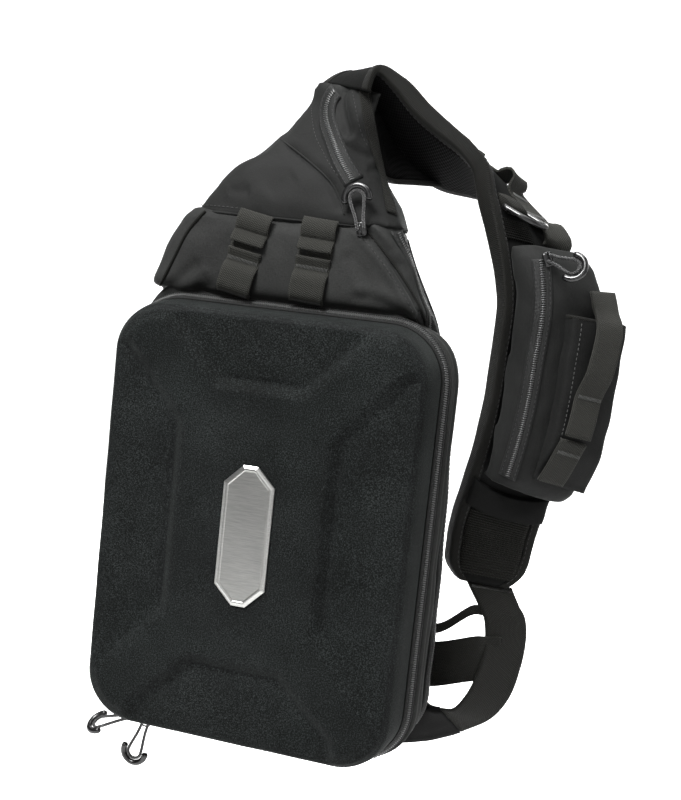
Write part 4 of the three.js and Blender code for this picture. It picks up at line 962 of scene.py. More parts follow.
def make_case_zip():
    path = case_path(0, 0, ZIP_STEP)
    rings = [[p + out * grow + Y * (ZIP_BACK - back) for back, grow in ZIP_SECTION]
             for p, out in zip(path, case_ways(path)[1])]
    weave = [[(back, k * ZIP_STEP, grow) for back, grow in ZIP_SECTION] for k in range(len(path))]
    tape = loft("case_zip_tape", rings, TAPE, closed_rows=True, weave=weave)
    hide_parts("shell_zip")

    def on_slope(back, grow, gap):
        """Places on the sloped tape, with the directions along it, down its slope and off it."""
        spots = case_path(grow, ZIP_BACK - back, gap)
        ways, aways = case_ways(spots)
        slopes = -aways * ZIP_SLOPE[0] - Y * ZIP_SLOPE[1]
        faces = aways * ZIP_SLOPE[1] - Y * ZIP_SLOPE[0]
        length = math.hypot(*ZIP_SLOPE)
        return spots, ways, slopes / length, faces / length

    spots, ways, slopes, faces = on_slope(3.8, 3.0, TOOTH_PITCH)
    lean = ways * 0.42
    reach = slopes * 1.7 + lean
    beads("case_zip_coil", spots - reach, spots + reach, 1.1, 1.5, faces, COIL)
    for number, (back, grow) in enumerate(((1.2, 4.85), (6.4, 1.65))):
        spots, ways, _, faces = on_slope(back, grow, 3.1)
        half = ways * 0.95
        beads(f"case_zip_stitches_{number}", spots - half, spots + half, 0.45, 0.45, faces, THREAD)
    tube("case_rim_seam", case_path(0.1, RIM + 0.05, 2.0), 0.8, STRAP_CLOTH, 8, closed=True)


GUSSET_SECTION = [
    (0.0, 1.6), (0.0, 3.4), (1.2, 4.0), (3.5, 4.1), (6.0, 3.7), (8.7, 3.1), (11.4, 3.7), (13.9, 4.1),
    (16.2, 4.0), (17.4, 3.4), (17.4, 1.6),
]
# Fuller on the right, and drawn out in a fold towards the panel at the top left corner
GUSSET_RIGHT, GUSSET_FOLD, GUSSET_FOLD_WAY = 3.2, 7.0, unit(V(-0.3, 0, 0.95))
GUSSET_STEP = 4.0


def make_gusset():
    path = case_path(0, 0, GUSSET_STEP)
    rings, weave = [], []
    for i, (p, out) in enumerate(zip(path, case_ways(path)[1])):
        ring = []
        full = GUSSET_RIGHT * step(out[0], 0.3, 0.95) + GUSSET_FOLD * max(out @ GUSSET_FOLD_WAY, 0) ** 14
        for back, grow in GUSSET_SECTION:
            spot = p + Y * (GUSSET_BACK - back)
            soft = 0.9 * rough(spot, 62, 1.0) * step(grow, 2.0, 3.6)
            ring.append(spot + out * (grow + soft + full * step(grow, 1.6, 4.0)))
        rings.append(ring)
        weave.append([(back, i * GUSSET_STEP, grow) for back, grow in GUSSET_SECTION])
    gusset = loft("case_side_cloth", rings, BODY_CLOTH, closed_rows=True, weave=weave)
    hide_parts("case_gusset")


BADGE_HALF, BADGE_CUT = (18.0, 48.0), 12.96
BADGE_PROFILE = [
    (0.0, 0.0), (0.8, 0.0), (1.1, 0.12), (1.9, 1.3), (2.2, 1.9), (2.3, 2.4), (2.3, 3.2), (2.2, 3.4),
    (1.8, 3.8), (1.75, 4.2), (1.75, 7.0),
]


def make_badge():
    rings = []
    for high, inset in BADGE_PROFILE:
        u, v, cut = BADGE_HALF[0] - inset, BADGE_HALF[1] - inset, BADGE_CUT - inset * 0.586
        shape = [(u, -v + cut), (u, v - cut), (u - cut, v), (-u + cut, v),
                 (-u, v - cut), (-u, -v + cut), (-u + cut, -v), (u - cut, -v)]
        rings.append([(CASE_X + a, FACE - 0.3 - high, CASE_MID + b) for a, b in shape])
    plate = loft("plain_plate", rings, PLATE, smooth=False)
    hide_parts("badge")


make_shell()
make_case_zip()
make_gusset()
make_badge()


# Soft body: rise 0 to 1 up to the shelf, 1 to 2 to the hem, with the sides in shares of half its width
SHELF_STEP = 1.01
BODY_SECTIONS = [
    (0.12, 0.99, 1.0), (0.4, 0.99, 0.99), (0.66, 0.99, 0.965), (0.8, 0.99, 0.935), (0.885, 0.99, 0.885),
    (0.965, 0.97, 0.815), (1.0, 0.955, 0.785), (SHELF_STEP, 0.95, 0.78), (1.27, 0.91, 0.71),
    (1.55, 0.875, 0.635), (1.82, 0.8, 0.575), (2.0, 0.73, 0.54),
]


def body_z(rise):
    if rise <= 1:
        return CASE_BASE + (SHELF_Z - CASE_BASE) * rise
    return SHELF_Z + (HEM_Z - SHELF_Z) * (rise - 1)


def body_rise(z):
    if z <= SHELF_Z:
        return (z - CASE_BASE) / (SHELF_Z - CASE_BASE)
    return 1 + (z - SHELF_Z) / (HEM_Z - SHELF_Z)


def body_sides(z):
    """Left and right x of the body at a height."""
    half = BODY_WIDTH / 2
    left, right = table_at(BODY_SECTIONS, body_rise(z))
    low = min(z - CASE_BASE, BODY_CORNER)
    pull = BODY_CORNER - math.sqrt(max(BODY_CORNER ** 2 - (BODY_CORNER - low) ** 2, 0))
    return -half * left + pull, half * right - pull


def body_front(z):
    return BODY_FRONT if z < SHELF_Z + 0.1 else panel_y(z)


def make_body():
    rings = []
    heights = np.concatenate((CASE_BASE + 38 * (1 - np.cos(np.linspace(0.02, math.pi / 2, 9))),
                              np.linspace(32, SHELF_Z, 60), np.linspace(SHELF_Z + 0.6, HEM_Z, 16)))
    for z in heights:
        left, right = body_sides(z)
        shape = rounded(left, right, -BODY_BACK, -body_front(z), 5, BODY_ROUND, 14, 5)
        rings.append([(u, -v, z) for u, v in shape])
    body = loft("body_cloth", rings, BODY_CLOTH)
    inflate(body, *BODY_PADDING)
    return body


# Seams and folds, as x and z on the seen plane
PANEL_SEAM = [(36.0, 358.7), (50.7, 347.3), (66.6, 331.4), (82.8, 311.6), (97.9, 288.4), (105.0, 280.5)]
PANEL_FOLDS = [
    ([(-74.9, 321.0), (-88.9, 306.7), (-109.0, 288.8)], 4.0, -1.6, 0.0),
    ([(-68.0, 318.0), (-82.0, 303.0), (-99.0, 290.0)], 5.0, 1.3, 0.0),
    ([(-75.8, 299.6), (-62.6, 305.3)], 4.0, -1.6, 0.0),
    ([(33.9, 307.5), (58.9, 306.2), (77.2, 299.5), (92.4, 288.4)], 3.6, -1.5, 0.0),
    ([(38.0, 313.0), (60.0, 312.0), (80.0, 305.0)], 4.5, 1.2, 0.0),
    ([(30.4, 338.5), (46.4, 323.2), (53.2, 306.9)], 5.0, -1.3, 0.0),
    ([(-96.0, 349.0), (-60.0, 353.0), (-20.0, 354.0)], 3.5, 0.8, 0.0),
    (PANEL_SEAM, 2.4, -3.4, 0.0),
    ([(x - 6, z - 3) for x, z in PANEL_SEAM], 3.0, 2.4, 0.0),
    ([(x + 6, z + 3) for x, z in PANEL_SEAM], 2.8, 2.2, 0.0),
]
PIPING_LEFT = [
    (-74.5, 354.7), (-81.4, 347.0), (-88.0, 336.6), (-92.4, 326.2), (-96.1, 317.4), (-103.8, 300.2),
    (-110.5, 288.7),
]


def surface_of(*objects):
    """Ray target in bag millimetres made of some pieces."""
    points, faces, base = [], [], 0
    for obj in objects:
        own = mesh_points(obj)
        points += [Vector(p) for p in own]
        faces += [[base + i for i in f.vertices] for f in obj.data.polygons]
        base += len(own)
    return BVHTree.FromPolygons(points, faces)


def landed(tree, origin, way):
    """Where a ray meets the surface, and the surface's normal turned against the ray."""
    spot, normal, _, _ = tree.ray_cast(Vector(origin), Vector(way))
    if spot is None:
        return None, None
    normal = np.array(normal)
    return np.array(spot), normal * -np.sign(np.dot(normal, way))


def landed_seen(tree, flat_path, gap):
    """Points on a surface where the photograph's camera sees a path of the seen plane."""
    path = smooth_path([(x, SEEN_PLANE, z) for x, z in flat_path], gap)
    spots, normals = [], []
    for p in path:
        spot, normal = landed(tree, EYE, unit(p - EYE))
        if spot is not None:
            spots.append(spot)
            normals.append(normal)
    return np.array(spots), np.array(normals)


def softened(values, times=2):
    """Rows averaged with their neighbours, with the end rows kept."""
    values = np.array(values, float)
    for _ in range(times):
        values[1:-1] = (values[:-2] + 2 * values[1:-1] + values[2:]) / 4
    return values


def stitch_row(name, spots, normals, length=2.1, spacing=3.4, thick=0.5, material=None, slot="nylon"):
    """Stitches along a path on a surface."""
    path = softened(spots, 1)
    runs = runs_of(path)
    at = np.arange(spacing / 2, runs[-1] - length, spacing)
    starts, ends = read_at(at, runs, path), read_at(at + length, runs, path)
    outs = units(read_at(at, runs, normals))
    lift = outs * thick * 0.25
    return beads(name, starts + lift, ends + lift, thick, thick, outs, material or THREAD)


# Columns across a laid tape, how far it sinks into the cloth, and the size of a zip's coil
TAPE_COLUMNS, TAPE_SUNK = 8, 0.6
COIL_THICK, COIL_HIGH = 1.0, 1.1


def two_sided(offsets, run):
    """Weave rows of a thin form's section: across its outer side, then back across its inner side."""
    return [(u, run, 0) for u in offsets] + [(u, run, 1) for u in offsets[::-1]]


def laid_tape(name, tree, path, sides, drops, width, lift, above):
    """Zip tape laid on a surface: each point of its width is dropped on the surface from above."""
    rings, weave, run = [], [], 0.0
    offsets = np.linspace(-width / 2, width / 2, TAPE_COLUMNS + 1)
    tops, normals = [], []
    for p, side, drop in zip(path, sides, drops):
        spots = [landed(tree, p + side * u - drop * above, drop) for u in offsets]
        if all(spot is not None for spot, _ in spots):
            tops.append([spot for spot, _ in spots])
            normals.append([normal for _, normal in spots])
    tops, normals = softened(tops, 3), units(softened(normals, 3))
    middle = TAPE_COLUMNS // 2
    for i, (row, out) in enumerate(zip(tops, normals)):
        run += 0 if i == 0 else np.linalg.norm(row[middle] - tops[i - 1][middle])
        rings.append(np.vstack((row + out * lift, (row - out * TAPE_SUNK)[::-1])))
        weave.append(two_sided(offsets, run))
    return loft(name, rings, TAPE, weave=weave), tops, normals


def coil_on(name, tops, normals, lift, wide, nylon):
    """Zip coil along the middle of laid tape."""
    middle = TAPE_COLUMNS // 2
    centre = tops[:, middle]
    runs = runs_of(centre)
    at = np.arange(1.0, runs[-1] - 1.0, TOOTH_PITCH)
    cross = units(tops[:, -1] - tops[:, 0])
    spots, outs, crosses = [read_at(at, runs, rows) for rows in (centre, normals[:, middle], cross)]
    reach = crosses * wide / 2 + units(np.gradient(spots, axis=0)) * 0.4
    spots = spots + outs * lift
    return beads(name, spots - reach, spots + reach, COIL_THICK, COIL_HIGH, outs, nylon)


def sewn_zip(name, tree, path, sides, drops, width, lift, coil_lift, wide=3.2, nylon=COIL, above=60):
    """A whole zip on a surface: its tape, its coil and a row of stitches near each edge."""
    tape, tops, normals = laid_tape(name + "_tape", tree, path, sides, drops, width, lift, above)
    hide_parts(name)
    coil_on(name + "_coil", tops, normals, coil_lift, wide, nylon)
    for number, column in enumerate((1, -2)):
        spots = tops[:, column] + normals[:, column] * lift
        stitch_row(f"{name}_stitches_{number}", spots, normals[:, column], slot="zip")


body = make_body()
crease(body, PANEL_FOLDS)
roughen(body, 0.5, 48, 5.0)
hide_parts("main_body")
body_tree = surface_of(body)


def seam_on(name, tree, flat_path, lift, radius, material, sides=8):
    """Round seam on a surface, along a path that the photograph's camera sees."""
    spots, normals = landed_seen(tree, flat_path, 2.0)
    tube(name, softened(spots, 3) + softened(normals, 3) * lift, radius, material, sides)


def make_body_seams():
    seam_on("body_piping_left", body_tree, PIPING_LEFT, 0.5, 1.25, BINDING, 10)
    seam_on("body_panel_seam", body_tree, PANEL_SEAM, 0.2, 1.0, BINDING)
    beside = [(x - 5, z - 3) for x, z in PANEL_SEAM]
    stitch_row("body_panel_stitches", *landed_seen(body_tree, beside, 1.5))


# Main zip: rise as in the body's sections, and the distance from the back in shares of the depth
MAIN_ZIP_PATH = [(0.06, 0.3), (0.8, 0.3), (0.95, 0.4), (1.25, 0.64), (1.95, 0.8)]
MAIN_ZIP_WIDTH = 10.0
MAIN_DEPTH_START = 8.0


def make_main_zip():
    depth = -GUSSET_FRONT - MAIN_DEPTH_START
    marks = [V(BODY_WIDTH, -(MAIN_DEPTH_START + deep * depth), body_z(rise)) for rise, deep in MAIN_ZIP_PATH]
    path = smooth_path(marks, 3.0)
    path = path[path[:, 2] < HEM_Z - 1.5]
    sides = units(np.cross(np.gradient(path, axis=0), X))
    sewn_zip("main_zip", body_tree, path, sides, [-X] * len(path), MAIN_ZIP_WIDTH, 1.4, 1.6)


make_body_seams()
make_main_zip()


# Hood sections: share of its rise, place in shares of half its width and of its thickness, size, turn,
# tilt, and how far from a rectangle (0) to an ellipse (1) the section is
HOOD_SECTIONS = [
    (0.0, -0.12, -0.6, 1.02, 1.0, 0, 0, 0.4), (0.15, -0.105, -0.55, 0.92, 0.92, 0, 0, 0.5),
    (0.34, -0.1, -0.5, 0.765, 0.76, 3, 0, 0.62), (0.466, -0.03, -0.44, 0.64, 0.6, 10, -1, 0.72),
    (0.644, 0.04, -0.4, 0.54, 0.42, 20, -3, 0.72), (0.828, 0.1, -0.4, 0.475, 0.27, 32, -6, 0.72),
]
HOOD_SEAM = [(-24.2, 409.2), (-8.7, 400.2), (6.9, 389.9), (17.1, 381.3), (23.2, 371.7), (27.1, 362.6)]
HOOD_FOLDS = [
    (HOOD_SEAM, 3.0, -1.5, 1.2),
    ([(16.7, 410.9), (27.9, 405.7), (44.7, 400.4)], 3.0, -1.6, 0.0),
    ([(40.6, 393.4), (54.3, 395.8)], 3.0, -1.5, 0.0),
    ([(22.8, 451.9), (17.8, 447.4), (15.6, 440.5), (16.8, 432.5), (20.3, 424.1), (26.0, 412.0)],
     3.6, -4.5, 0.0),
    ([(-58.7, 370.0), (-42.5, 372.8)], 4.0, -1.2, 0.0),
    ([(-62.0, 366.0), (-40.0, 392.0), (-22.0, 418.0)], 8.0, 1.3, 0.0),
    ([(-30.0, 372.0), (-10.0, 386.0)], 7.0, -1.0, 0.0),
]
HOOD_STITCHES = [(-4.5, 434.8), (-2.7, 424.9), (0.7, 413.7), (6.8, 404.1), (13.5, 394.5), (20.0, 387.7)]
SIDE_STITCHES = [(23.5, 445.3), (26.7, 435.6), (29.9, 425.9), (33.8, 416.2), (38.9, 408.6)]
HOOD_POINTS = 56


def hood_outline(half_wide, half_thick, roundness):
    angles = 2 * math.pi * (np.arange(HOOD_POINTS) + 0.5) / HOOD_POINTS
    c, s = np.cos(angles), np.sin(angles)
    return np.stack((half_wide * np.sign(c) * np.abs(c) ** roundness,
                     half_thick * np.sign(s) * np.abs(s) ** roundness), 1)


# The hood's lip over the panel, how far its top is narrowed on the left, and how much smaller it starts
# than it is once padded
HOOD_LIP, HOOD_LIP_FLARE, HOOD_TOP_SHIFT, HOOD_INSET = 4.0, 1.6, 1.5, 0.6


def hood_rings(grow):
    """Sections from the hood's hem to where it meets the strap."""
    places, shapes, turns = [], [], []
    for up, x, y, wide, thick, turn, tilt, roundness in HOOD_SECTIONS:
        places.append((x * HOOD_WIDTH / 2, y * HOOD_THICK, HEM_Z + 0.3 + up * HOOD_RISE))
        shapes.append((HOOD_WIDTH * wide / 2, HOOD_THICK * thick / 2, roundness))
        turns.append((turn, tilt, 0))
    middle, across, _, half = strap_frame(1)
    places.append(middle + across * HOOD_TOP_SHIFT)
    shapes.append((half - HOOD_TOP_SHIFT, OUTER + 1.2, 0.9))
    turns.append((32, -6, 0))
    lines = [Line(places), Line(shapes), Line(turns)]
    rings = []
    for share in np.linspace(0, 1, 46):
        at, (wide, thick, roundness), (turn, tilt, _) = [line.at(share) for line in lines]
        across = turned(turn, tilt)
        out = unit(np.cross(across, Z))
        lip = HOOD_LIP_FLARE * (1 - step(share, 0.0, 0.06))
        flat = hood_outline(wide + grow + lip, thick + grow + lip, roundness)
        lowered = at - Z * HOOD_LIP * (1 - step(share, 0.0, 0.1))
        rings.append([lowered + across * u + out * v for u, v in flat])
    return np.array(rings)


def make_hood():
    hood = loft("hood_cloth", hood_rings(-HOOD_INSET), HOOD)
    inflate(hood, *HOOD_PADDING)
    crease(hood, HOOD_FOLDS)
    roughen(hood, 0.45, 40, 2.0)
    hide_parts("top_hood")
    return hood


# The hood's hem: the cloth's rolled edge, laid against the hood all round
HEM_ROLL, HEM_UP, HEM_RAYS = 0.9, -2.0, 130


def make_hem(tree):
    middle = V(-0.12 * HOOD_WIDTH / 2, -0.6 * HOOD_THICK, HEM_Z + HEM_UP)
    spots = []
    for k in range(HEM_RAYS):
        a = 2 * math.pi * k / HEM_RAYS
        way = unit(V(math.cos(a) * HOOD_WIDTH, math.sin(a) * HOOD_THICK, 0))
        spot, _ = landed(tree, middle + way * 150, -way)
        if spot is not None:
            spots.append(spot)
    path = spaced(spots, 2.5, True)
    tube("hood_hem_roll", path, HEM_ROLL, HOOD, 8, closed=True)
    front = path[path[:, 1] < middle[1]]
    line = softened(front[np.argsort(front[:, 0])], 3)
    outs = np.array([unit((p - middle) * (0.4, 1, 0)) for p in line])
    stitch_row("hood_hem_stitches", line + Z * 4.4 + Y * 0.4, outs)


# Hood zip: places across and up in shares of half the hood's width and of its rise
HOOD_ZIP_PATH = [
    (0.175, 0.975), (0.06, 0.955), (0.0, 0.86), (0.015, 0.74), (0.12, 0.6), (0.26, 0.43), (0.41, 0.29),
]
HOOD_ZIP_WIDTH = 13.0


def make_hood_zip(tree):
    marks = [V(x * HOOD_WIDTH / 2, -HOOD_THICK, HEM_Z + up * HOOD_RISE) for x, up in HOOD_ZIP_PATH]
    path = smooth_path(marks, 2.0)
    sides = units(np.cross(np.gradient(path, axis=0), Y))
    sewn_zip("hood_zip", tree, path, sides, [Y] * len(path), HOOD_ZIP_WIDTH, 1.3, 1.7, wide=3.8)


hood = make_hood()
hood_tree = surface_of(hood)
make_hem(hood_tree)
make_hood_zip(hood_tree)
for label, flat_path in (("hood_stitches", HOOD_STITCHES), ("hood_side_stitches", SIDE_STITCHES)):
    spots, normals = landed_seen(hood_tree, flat_path, 1.5)
    stitch_row(label, softened(spots, 3), softened(normals, 3))
seam_on("hood_seam", hood_tree, HOOD_SEAM, 0.0, 0.8, HOOD)


SIDE_BINDING = [
    (31.0, 450.0), (34.5, 438.0), (38.0, 425.0), (42.5, 411.0), (48.5, 396.0), (55.0, 380.0),
    (60.0, 366.0),
]


def make_side_binding():
    middle, out = landed_seen(hood_tree, SIDE_BINDING, 2.0)
    middle, out = softened(middle, 4), units(softened(out, 4))
    acrosses = units(np.cross(out, np.gradient(middle, axis=0)))
    ribbon("hood_side_binding", middle + out * 0.7, acrosses, out, 8.0, 1.3, WIDE_WEB, "nylon")


make_side_binding()


# Webbing ladders: two loops above a gap, then a sewn foot with a fold. Rows are the share down from the
# hem and the share of the loop's rise.
LADDER_TOP = [
    (0.0, 0.1), (0.04, 0.45), (0.12, 0.62), (0.2, 0.3), (0.225, 0.02), (0.25, 0.3), (0.32, 0.75),
    (0.37, 0.85),
]
LADDER_MID = [(0.3, -0.05), (0.4, -0.05), (0.5, -0.05)]
LADDER_LOW = [
    (0.445, 0.6), (0.48, 0.42), (0.55, 0.02), (0.61, 0.06), (0.635, 0.4), (0.68, 0.75), (0.8, 0.85),
    (0.9, 0.75), (0.965, 0.1),
]
TACK_LENGTH = 2.6
LADDER_TACKS = [(0.225, 0.0, THREAD), (0.565, 0.0, PALE_THREAD), (0.945, 0.3, THREAD)]
# Ladders, with the side of their top and foot in shares of the body's half width
LADDERS = [("web_ladder_left", -0.277, -0.37), ("web_ladder_right", 0.113, 0.08)]


def ladder_spot(top, foot, down, out):
    """Place on a ladder whose side shifts from top to foot, in shares of the body's half width."""
    z = HEM_Z - down * PANEL_RISE
    x = BODY_WIDTH / 2 * (top + (foot - top) * down)
    return V(x, panel_y(z) - 0.6 - WEB_THICK / 2 - out * LOOP_RISE, z)


def tack_row(name, centre, way, width, out, thread):
    """A bar tack: a row of short upright stitches across webbing, 1 mm apart."""
    half = unit(np.cross(out, way)) * TACK_LENGTH / 2
    offsets = np.arange(-width / 2 + 1.2, width / 2 - 1.1, 1.0)
    spots = np.array([centre + way * u + out * 0.15 for u in offsets])
    beads(name, spots - half, spots + half, 0.55, 0.5, [out] * len(spots), thread, 5)


def make_ladder(name, top, foot):
    slant = unit(ladder_spot(top, foot, 1.0, 0) - ladder_spot(top, foot, 0.0, 0))
    across = unit(X - slant * np.dot(X, slant))
    for part, rows in (("upper", LADDER_TOP), ("middle", LADDER_MID), ("lower", LADDER_LOW)):
        path = smooth_path([ladder_spot(top, foot, down, out) for down, out in rows], 1.3)
        ways = units(np.gradient(path, axis=0))
        outs = np.cross(units(np.cross(ways, -Y)), ways)
        piece = ribbon(f"{name}_{part}", path, [across] * len(path), outs, WEB_WIDTH, WEB_THICK, WEB,
                       "webbing", 12)
        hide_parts(name)
    for number, (down, out, thread) in enumerate(LADDER_TACKS):
        centre = ladder_spot(top, foot, down, out) - Y * (WEB_THICK / 2 + 0.1)
        tack_row(f"{name}_tack_{number}", centre, across, WEB_WIDTH, -Y, thread)


for label, top, foot in LADDERS:
    make_ladder(label, top, foot)


# Shoulder strap
def along_strap(name, start, end, outline_at, material, slot, per_station):
    """Skins outlines of (across, out) along the strap, with the weave attribute in millimetres."""
    stops = np.linspace(start, end, max(3, round((end - start) * per_station) + 1))
    frames = [strap_frame(at) for at in stops]
    rings, weave = [], []
    for at, (middle, across, out, half), run in zip(stops, frames, runs_of([frame[0] for frame in frames])):
        shape = outline_at(half, at)
        rings.append([middle + across * u + out * v for u, v in shape])
        weave.append([(u, run, v) for u, v in shape])
    return loft(name, rings, material, weave=weave)


def slimmed(at):
    """Share of the strap's thickness left where it folds over the hood."""
    return 0.36 + 0.64 * step(at, 1.4, 3.8)


def rounded_end(at):
    """Share of the strap's width left near its lower end."""
    return 1 - 0.3 * max((at - 17.35) / 0.65, 0) ** 2


def foam_outline(half, at):
    """The padded strap's section: full in its middle, with small folds and thin edges."""
    wide = (half - 1.6) * rounded_end(at)
    u = np.linspace(-1, 1, 23)
    puff = 1.3 * (1 - np.abs(u) ** 3)
    soft = [0.5 * rough((x * 30, at * STATION_RUN, 0), 44, 6.0) * (1 - x ** 4) for x in u]
    edge = 1.6 * np.clip((np.abs(u) - 0.9) / 0.1, 0, 1) ** 2
    top = [(wide * a, OUTER - 0.6 + b + c - d) for a, b, c, d in zip(u, puff, soft, edge)]
    low = [(wide * a, -OUTER + d) for a, d in zip(u[::-1], edge)]
    return np.array(top + low) * (1, slimmed(at))


def lining_outline(half, at):
    """The mesh lining's section, between the bindings on the strap's inner side."""
    cover = (half - BINDING_COVER + 1.5) * rounded_end(at)
    u = np.linspace(-1, 1, 15)
    low = -OUTER - 0.3 - LINING - 0.9 * (1 - u ** 2)
    shape = [(cover * a, b) for a, b in zip(u, low)] + [(cover * a, -OUTER) for a in u[::-1]]
    return np.array(shape) * (1, slimmed(at))


def edge_tape(side):
    """Outline maker for the binding that wraps one edge of the strap."""
    def outline(half, at):
        wave = 0.5 * float(rough(V(at * 20.0, side * 9.0, 0), 17, 3.0))
        half = half * rounded_end(at)
        cover, edge, inner = half - BINDING_COVER - wave, half + 0.5 * wave, half - 1.4
        high = BINDING_HIGH
        bend = [(edge - 2.6 + 2.6 * math.sin(a), high - 2.6 + 2.6 * math.cos(a))
                for a in np.linspace(0, math.pi / 2, 5)]
        outer = [(cover, high - 0.7), (cover + 0.4, high - 0.15), (cover + 2, high)] + bend
        outer += [(u, -v) for u, v in reversed(outer)]
        back = [(cover, -high + 1.4), (inner - 1, -high + 1.4), (inner, -high + 2.6), (inner, high - 2.6),
                (inner - 1, high - 1.4), (cover, high - 1.4)]
        return np.array([(side * u, v) for u, v in outer + back]) * (1, slimmed(at))
    return outline


# Stitches along the strap's bindings: how far from its edge, and their first and last station
EDGE_STITCH_IN, EDGE_STITCH_FROM, EDGE_STITCH_TO = BINDING_COVER - 1.6, 1.2, 17.9


def strap_stitches(name, side, flip):
    """Stitches along one edge of the strap, on its outer side or, with flip -1, on its inner side."""
    spots, normals = [], []
    for at in np.linspace(EDGE_STITCH_FROM, EDGE_STITCH_TO, round((EDGE_STITCH_TO - EDGE_STITCH_FROM) * 9)):
        middle, across, out, half = strap_frame(at)
        aside = side * (half * rounded_end(at) - EDGE_STITCH_IN)
        spots.append(middle + across * aside + out * BINDING_HIGH * flip * slimmed(at))
        normals.append(out * flip)
    stitch_row(name, np.array(spots), np.array(normals), 2.3, 3.8, 0.5, slot="webbing")


# The strap starts inside the hood
STRAP_INSIDE = 0.86


def make_strap():
    foam = along_strap("strap_foam", STRAP_INSIDE, STRAP_END, foam_outline, STRAP_CLOTH, "nylon", 12)
    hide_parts("shoulder_strap")
    lining = along_strap("strap_lining_mesh", STRAP_INSIDE, STRAP_END, lining_outline, LINING_MESH, "mesh",
                         12)
    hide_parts("strap_lining")
    for label, side in (("near", 1), ("far", -1)):
        tape = along_strap("strap_edge_" + label, STRAP_INSIDE, STRAP_END, edge_tape(side), BINDING,
                           "webbing", 12)
        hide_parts("strap_binding_" + label)
        for row, flip in (("stitches", 1), ("under", -1)):
            strap_stitches(f"strap_edge_{row}_{label}", side, flip)


make_strap()

# The strap's root flares down the hood's right side: its lower edge as x and z on the seen plane, its
# stations, the depth where it meets the hood, and its thickness
ROOT_EDGE = [(52.3, 389.0), (58.1, 387.5), (71.9, 387.7), (88.3, 387.8), (99.0, 386.8)]
ROOT_FROM, ROOT_TO, ROOT_DEPTH, ROOT_THICK = 1.5, 5.2, -22.0, 2.6


def behind(x, z, depth):
    """Place at a depth that the photograph's camera sees at x and z of the seen plane."""
    share = (depth - EYE[1]) / (SEEN_PLANE - EYE[1])
    return V(EYE[0] + share * (x - EYE[0]), depth, EYE[2] + share * (z - EYE[2]))


def make_strap_root():
    edge_line = Line([(x, 0, z) for x, z in ROOT_EDGE])
    end_depth = on_strap(ROOT_TO, -strap_frame(ROOT_TO)[3], 0)[1]
    rings, weave, edge = [], [], []
    for t in np.linspace(0, 1, 29):
        at = ROOT_FROM + (ROOT_TO - ROOT_FROM) * t
        _, _, out, half = strap_frame(at)
        top = on_strap(at, -(half - 4) * step(at, ROOT_FROM, 3.2), -0.6 * OUTER * slimmed(at))
        x, _, z = edge_line.at(t)
        foot = behind(x, z, ROOT_DEPTH + (end_depth - ROOT_DEPTH) * t)
        row = np.array([top + (foot - top) * u for u in np.linspace(0, 1, 11)])
        face = unit(np.cross(foot - top, strap_line.way(at / STRAP_END)) + out * 1e-6)
        rings.append(np.vstack((row + face * ROOT_THICK / 2, (row - face * ROOT_THICK / 2)[::-1])))
        along = np.linalg.norm(foot - top) * np.linspace(0, 1, 11)
        weave.append(two_sided(along, at * STATION_RUN))
        edge.append(foot)
    root = loft("strap_root_mesh", rings, LINING_MESH, weave=weave)
    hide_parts("strap_lining")
    tube("strap_root_binding", edge, 1.9, BINDING, 10)


make_strap_root()

# Webbing sewn on the strap: station, side in shares of half its width, and share of the loop's rise. Its
# bar tacks: station and side.
SHOULDER_WEB = [
    (5.4, -0.1, 0.0), (5.75, -0.12, 0.05), (6.05, -0.15, 0.8), (6.35, -0.18, 0.05), (6.75, -0.2, 0.0),
    (7.0, -0.22, 0.9), (7.25, -0.24, 1.0), (7.5, -0.27, 0.0), (8.3, -0.42, 0.0), (8.6, -0.54, 0.62),
    (8.92, -0.56, 0.58), (9.2, -0.5, 0.0),
]
SHOULDER_TACKS = [(5.55, -0.11), (6.45, -0.185), (7.62, -0.285), (8.2, -0.4)]
SHOULDER_LOOP_RISE = 9.0
# Shares in these rows count as this many stations when the curve through them is evened out
WEB_EVEN = 30
# Bands across the strap: first and last station, near and far edge in shares of its half width
ELASTIC = (8.68, 9.2, 0.82, 0.05)
ELASTIC_RIBS = 9
FLAP = (14.5, 15.2, 0.92, -0.98)
FLAP_BOW, FLAP_THICK = 0.2, 4.6
END_BAND = (15.35, 17.75, 0.74, -0.74)
END_RIB_PITCH = 0.088


def web_on_strap(name, rows, rise, base, width):
    """Webbing along the strap by rows of station, side and share of the rise."""
    rows = np.array(rows)
    at = np.linspace(rows[0, 0], rows[-1, 0], max(12, round((rows[-1, 0] - rows[0, 0]) * 16)))
    line = Line(rows * (1, WEB_EVEN, WEB_EVEN))
    fine = np.array([line.at(share) for share in np.linspace(0, 1, 60)])
    sides = np.interp(at, fine[:, 0], fine[:, 1]) / WEB_EVEN * STRAP_WIDTH / 2
    outs = np.interp(at, fine[:, 0], fine[:, 2]) / WEB_EVEN * rise
    path = [on_strap(a, side, base + 0.4 + out + WEB_THICK / 2) for a, side, out in zip(at, sides, outs)]
    acrosses = [strap_frame(a)[1] for a in at]
    path = softened(path, 2)
    ways = units(np.gradient(path, axis=0))
    acrosses = np.array([unit(a - w * np.dot(a, w)) for a, w in zip(acrosses, ways)])
    return ribbon(name, path, acrosses, np.cross(acrosses, ways), width, WEB_THICK, WEB, "webbing", 12)


def strap_tack(name, at, side, high, width):
    _, across, out, _ = strap_frame(at)
    tack_row(name, on_strap(at, side * STRAP_WIDTH / 2, high), across, width, out, PALE_THREAD)


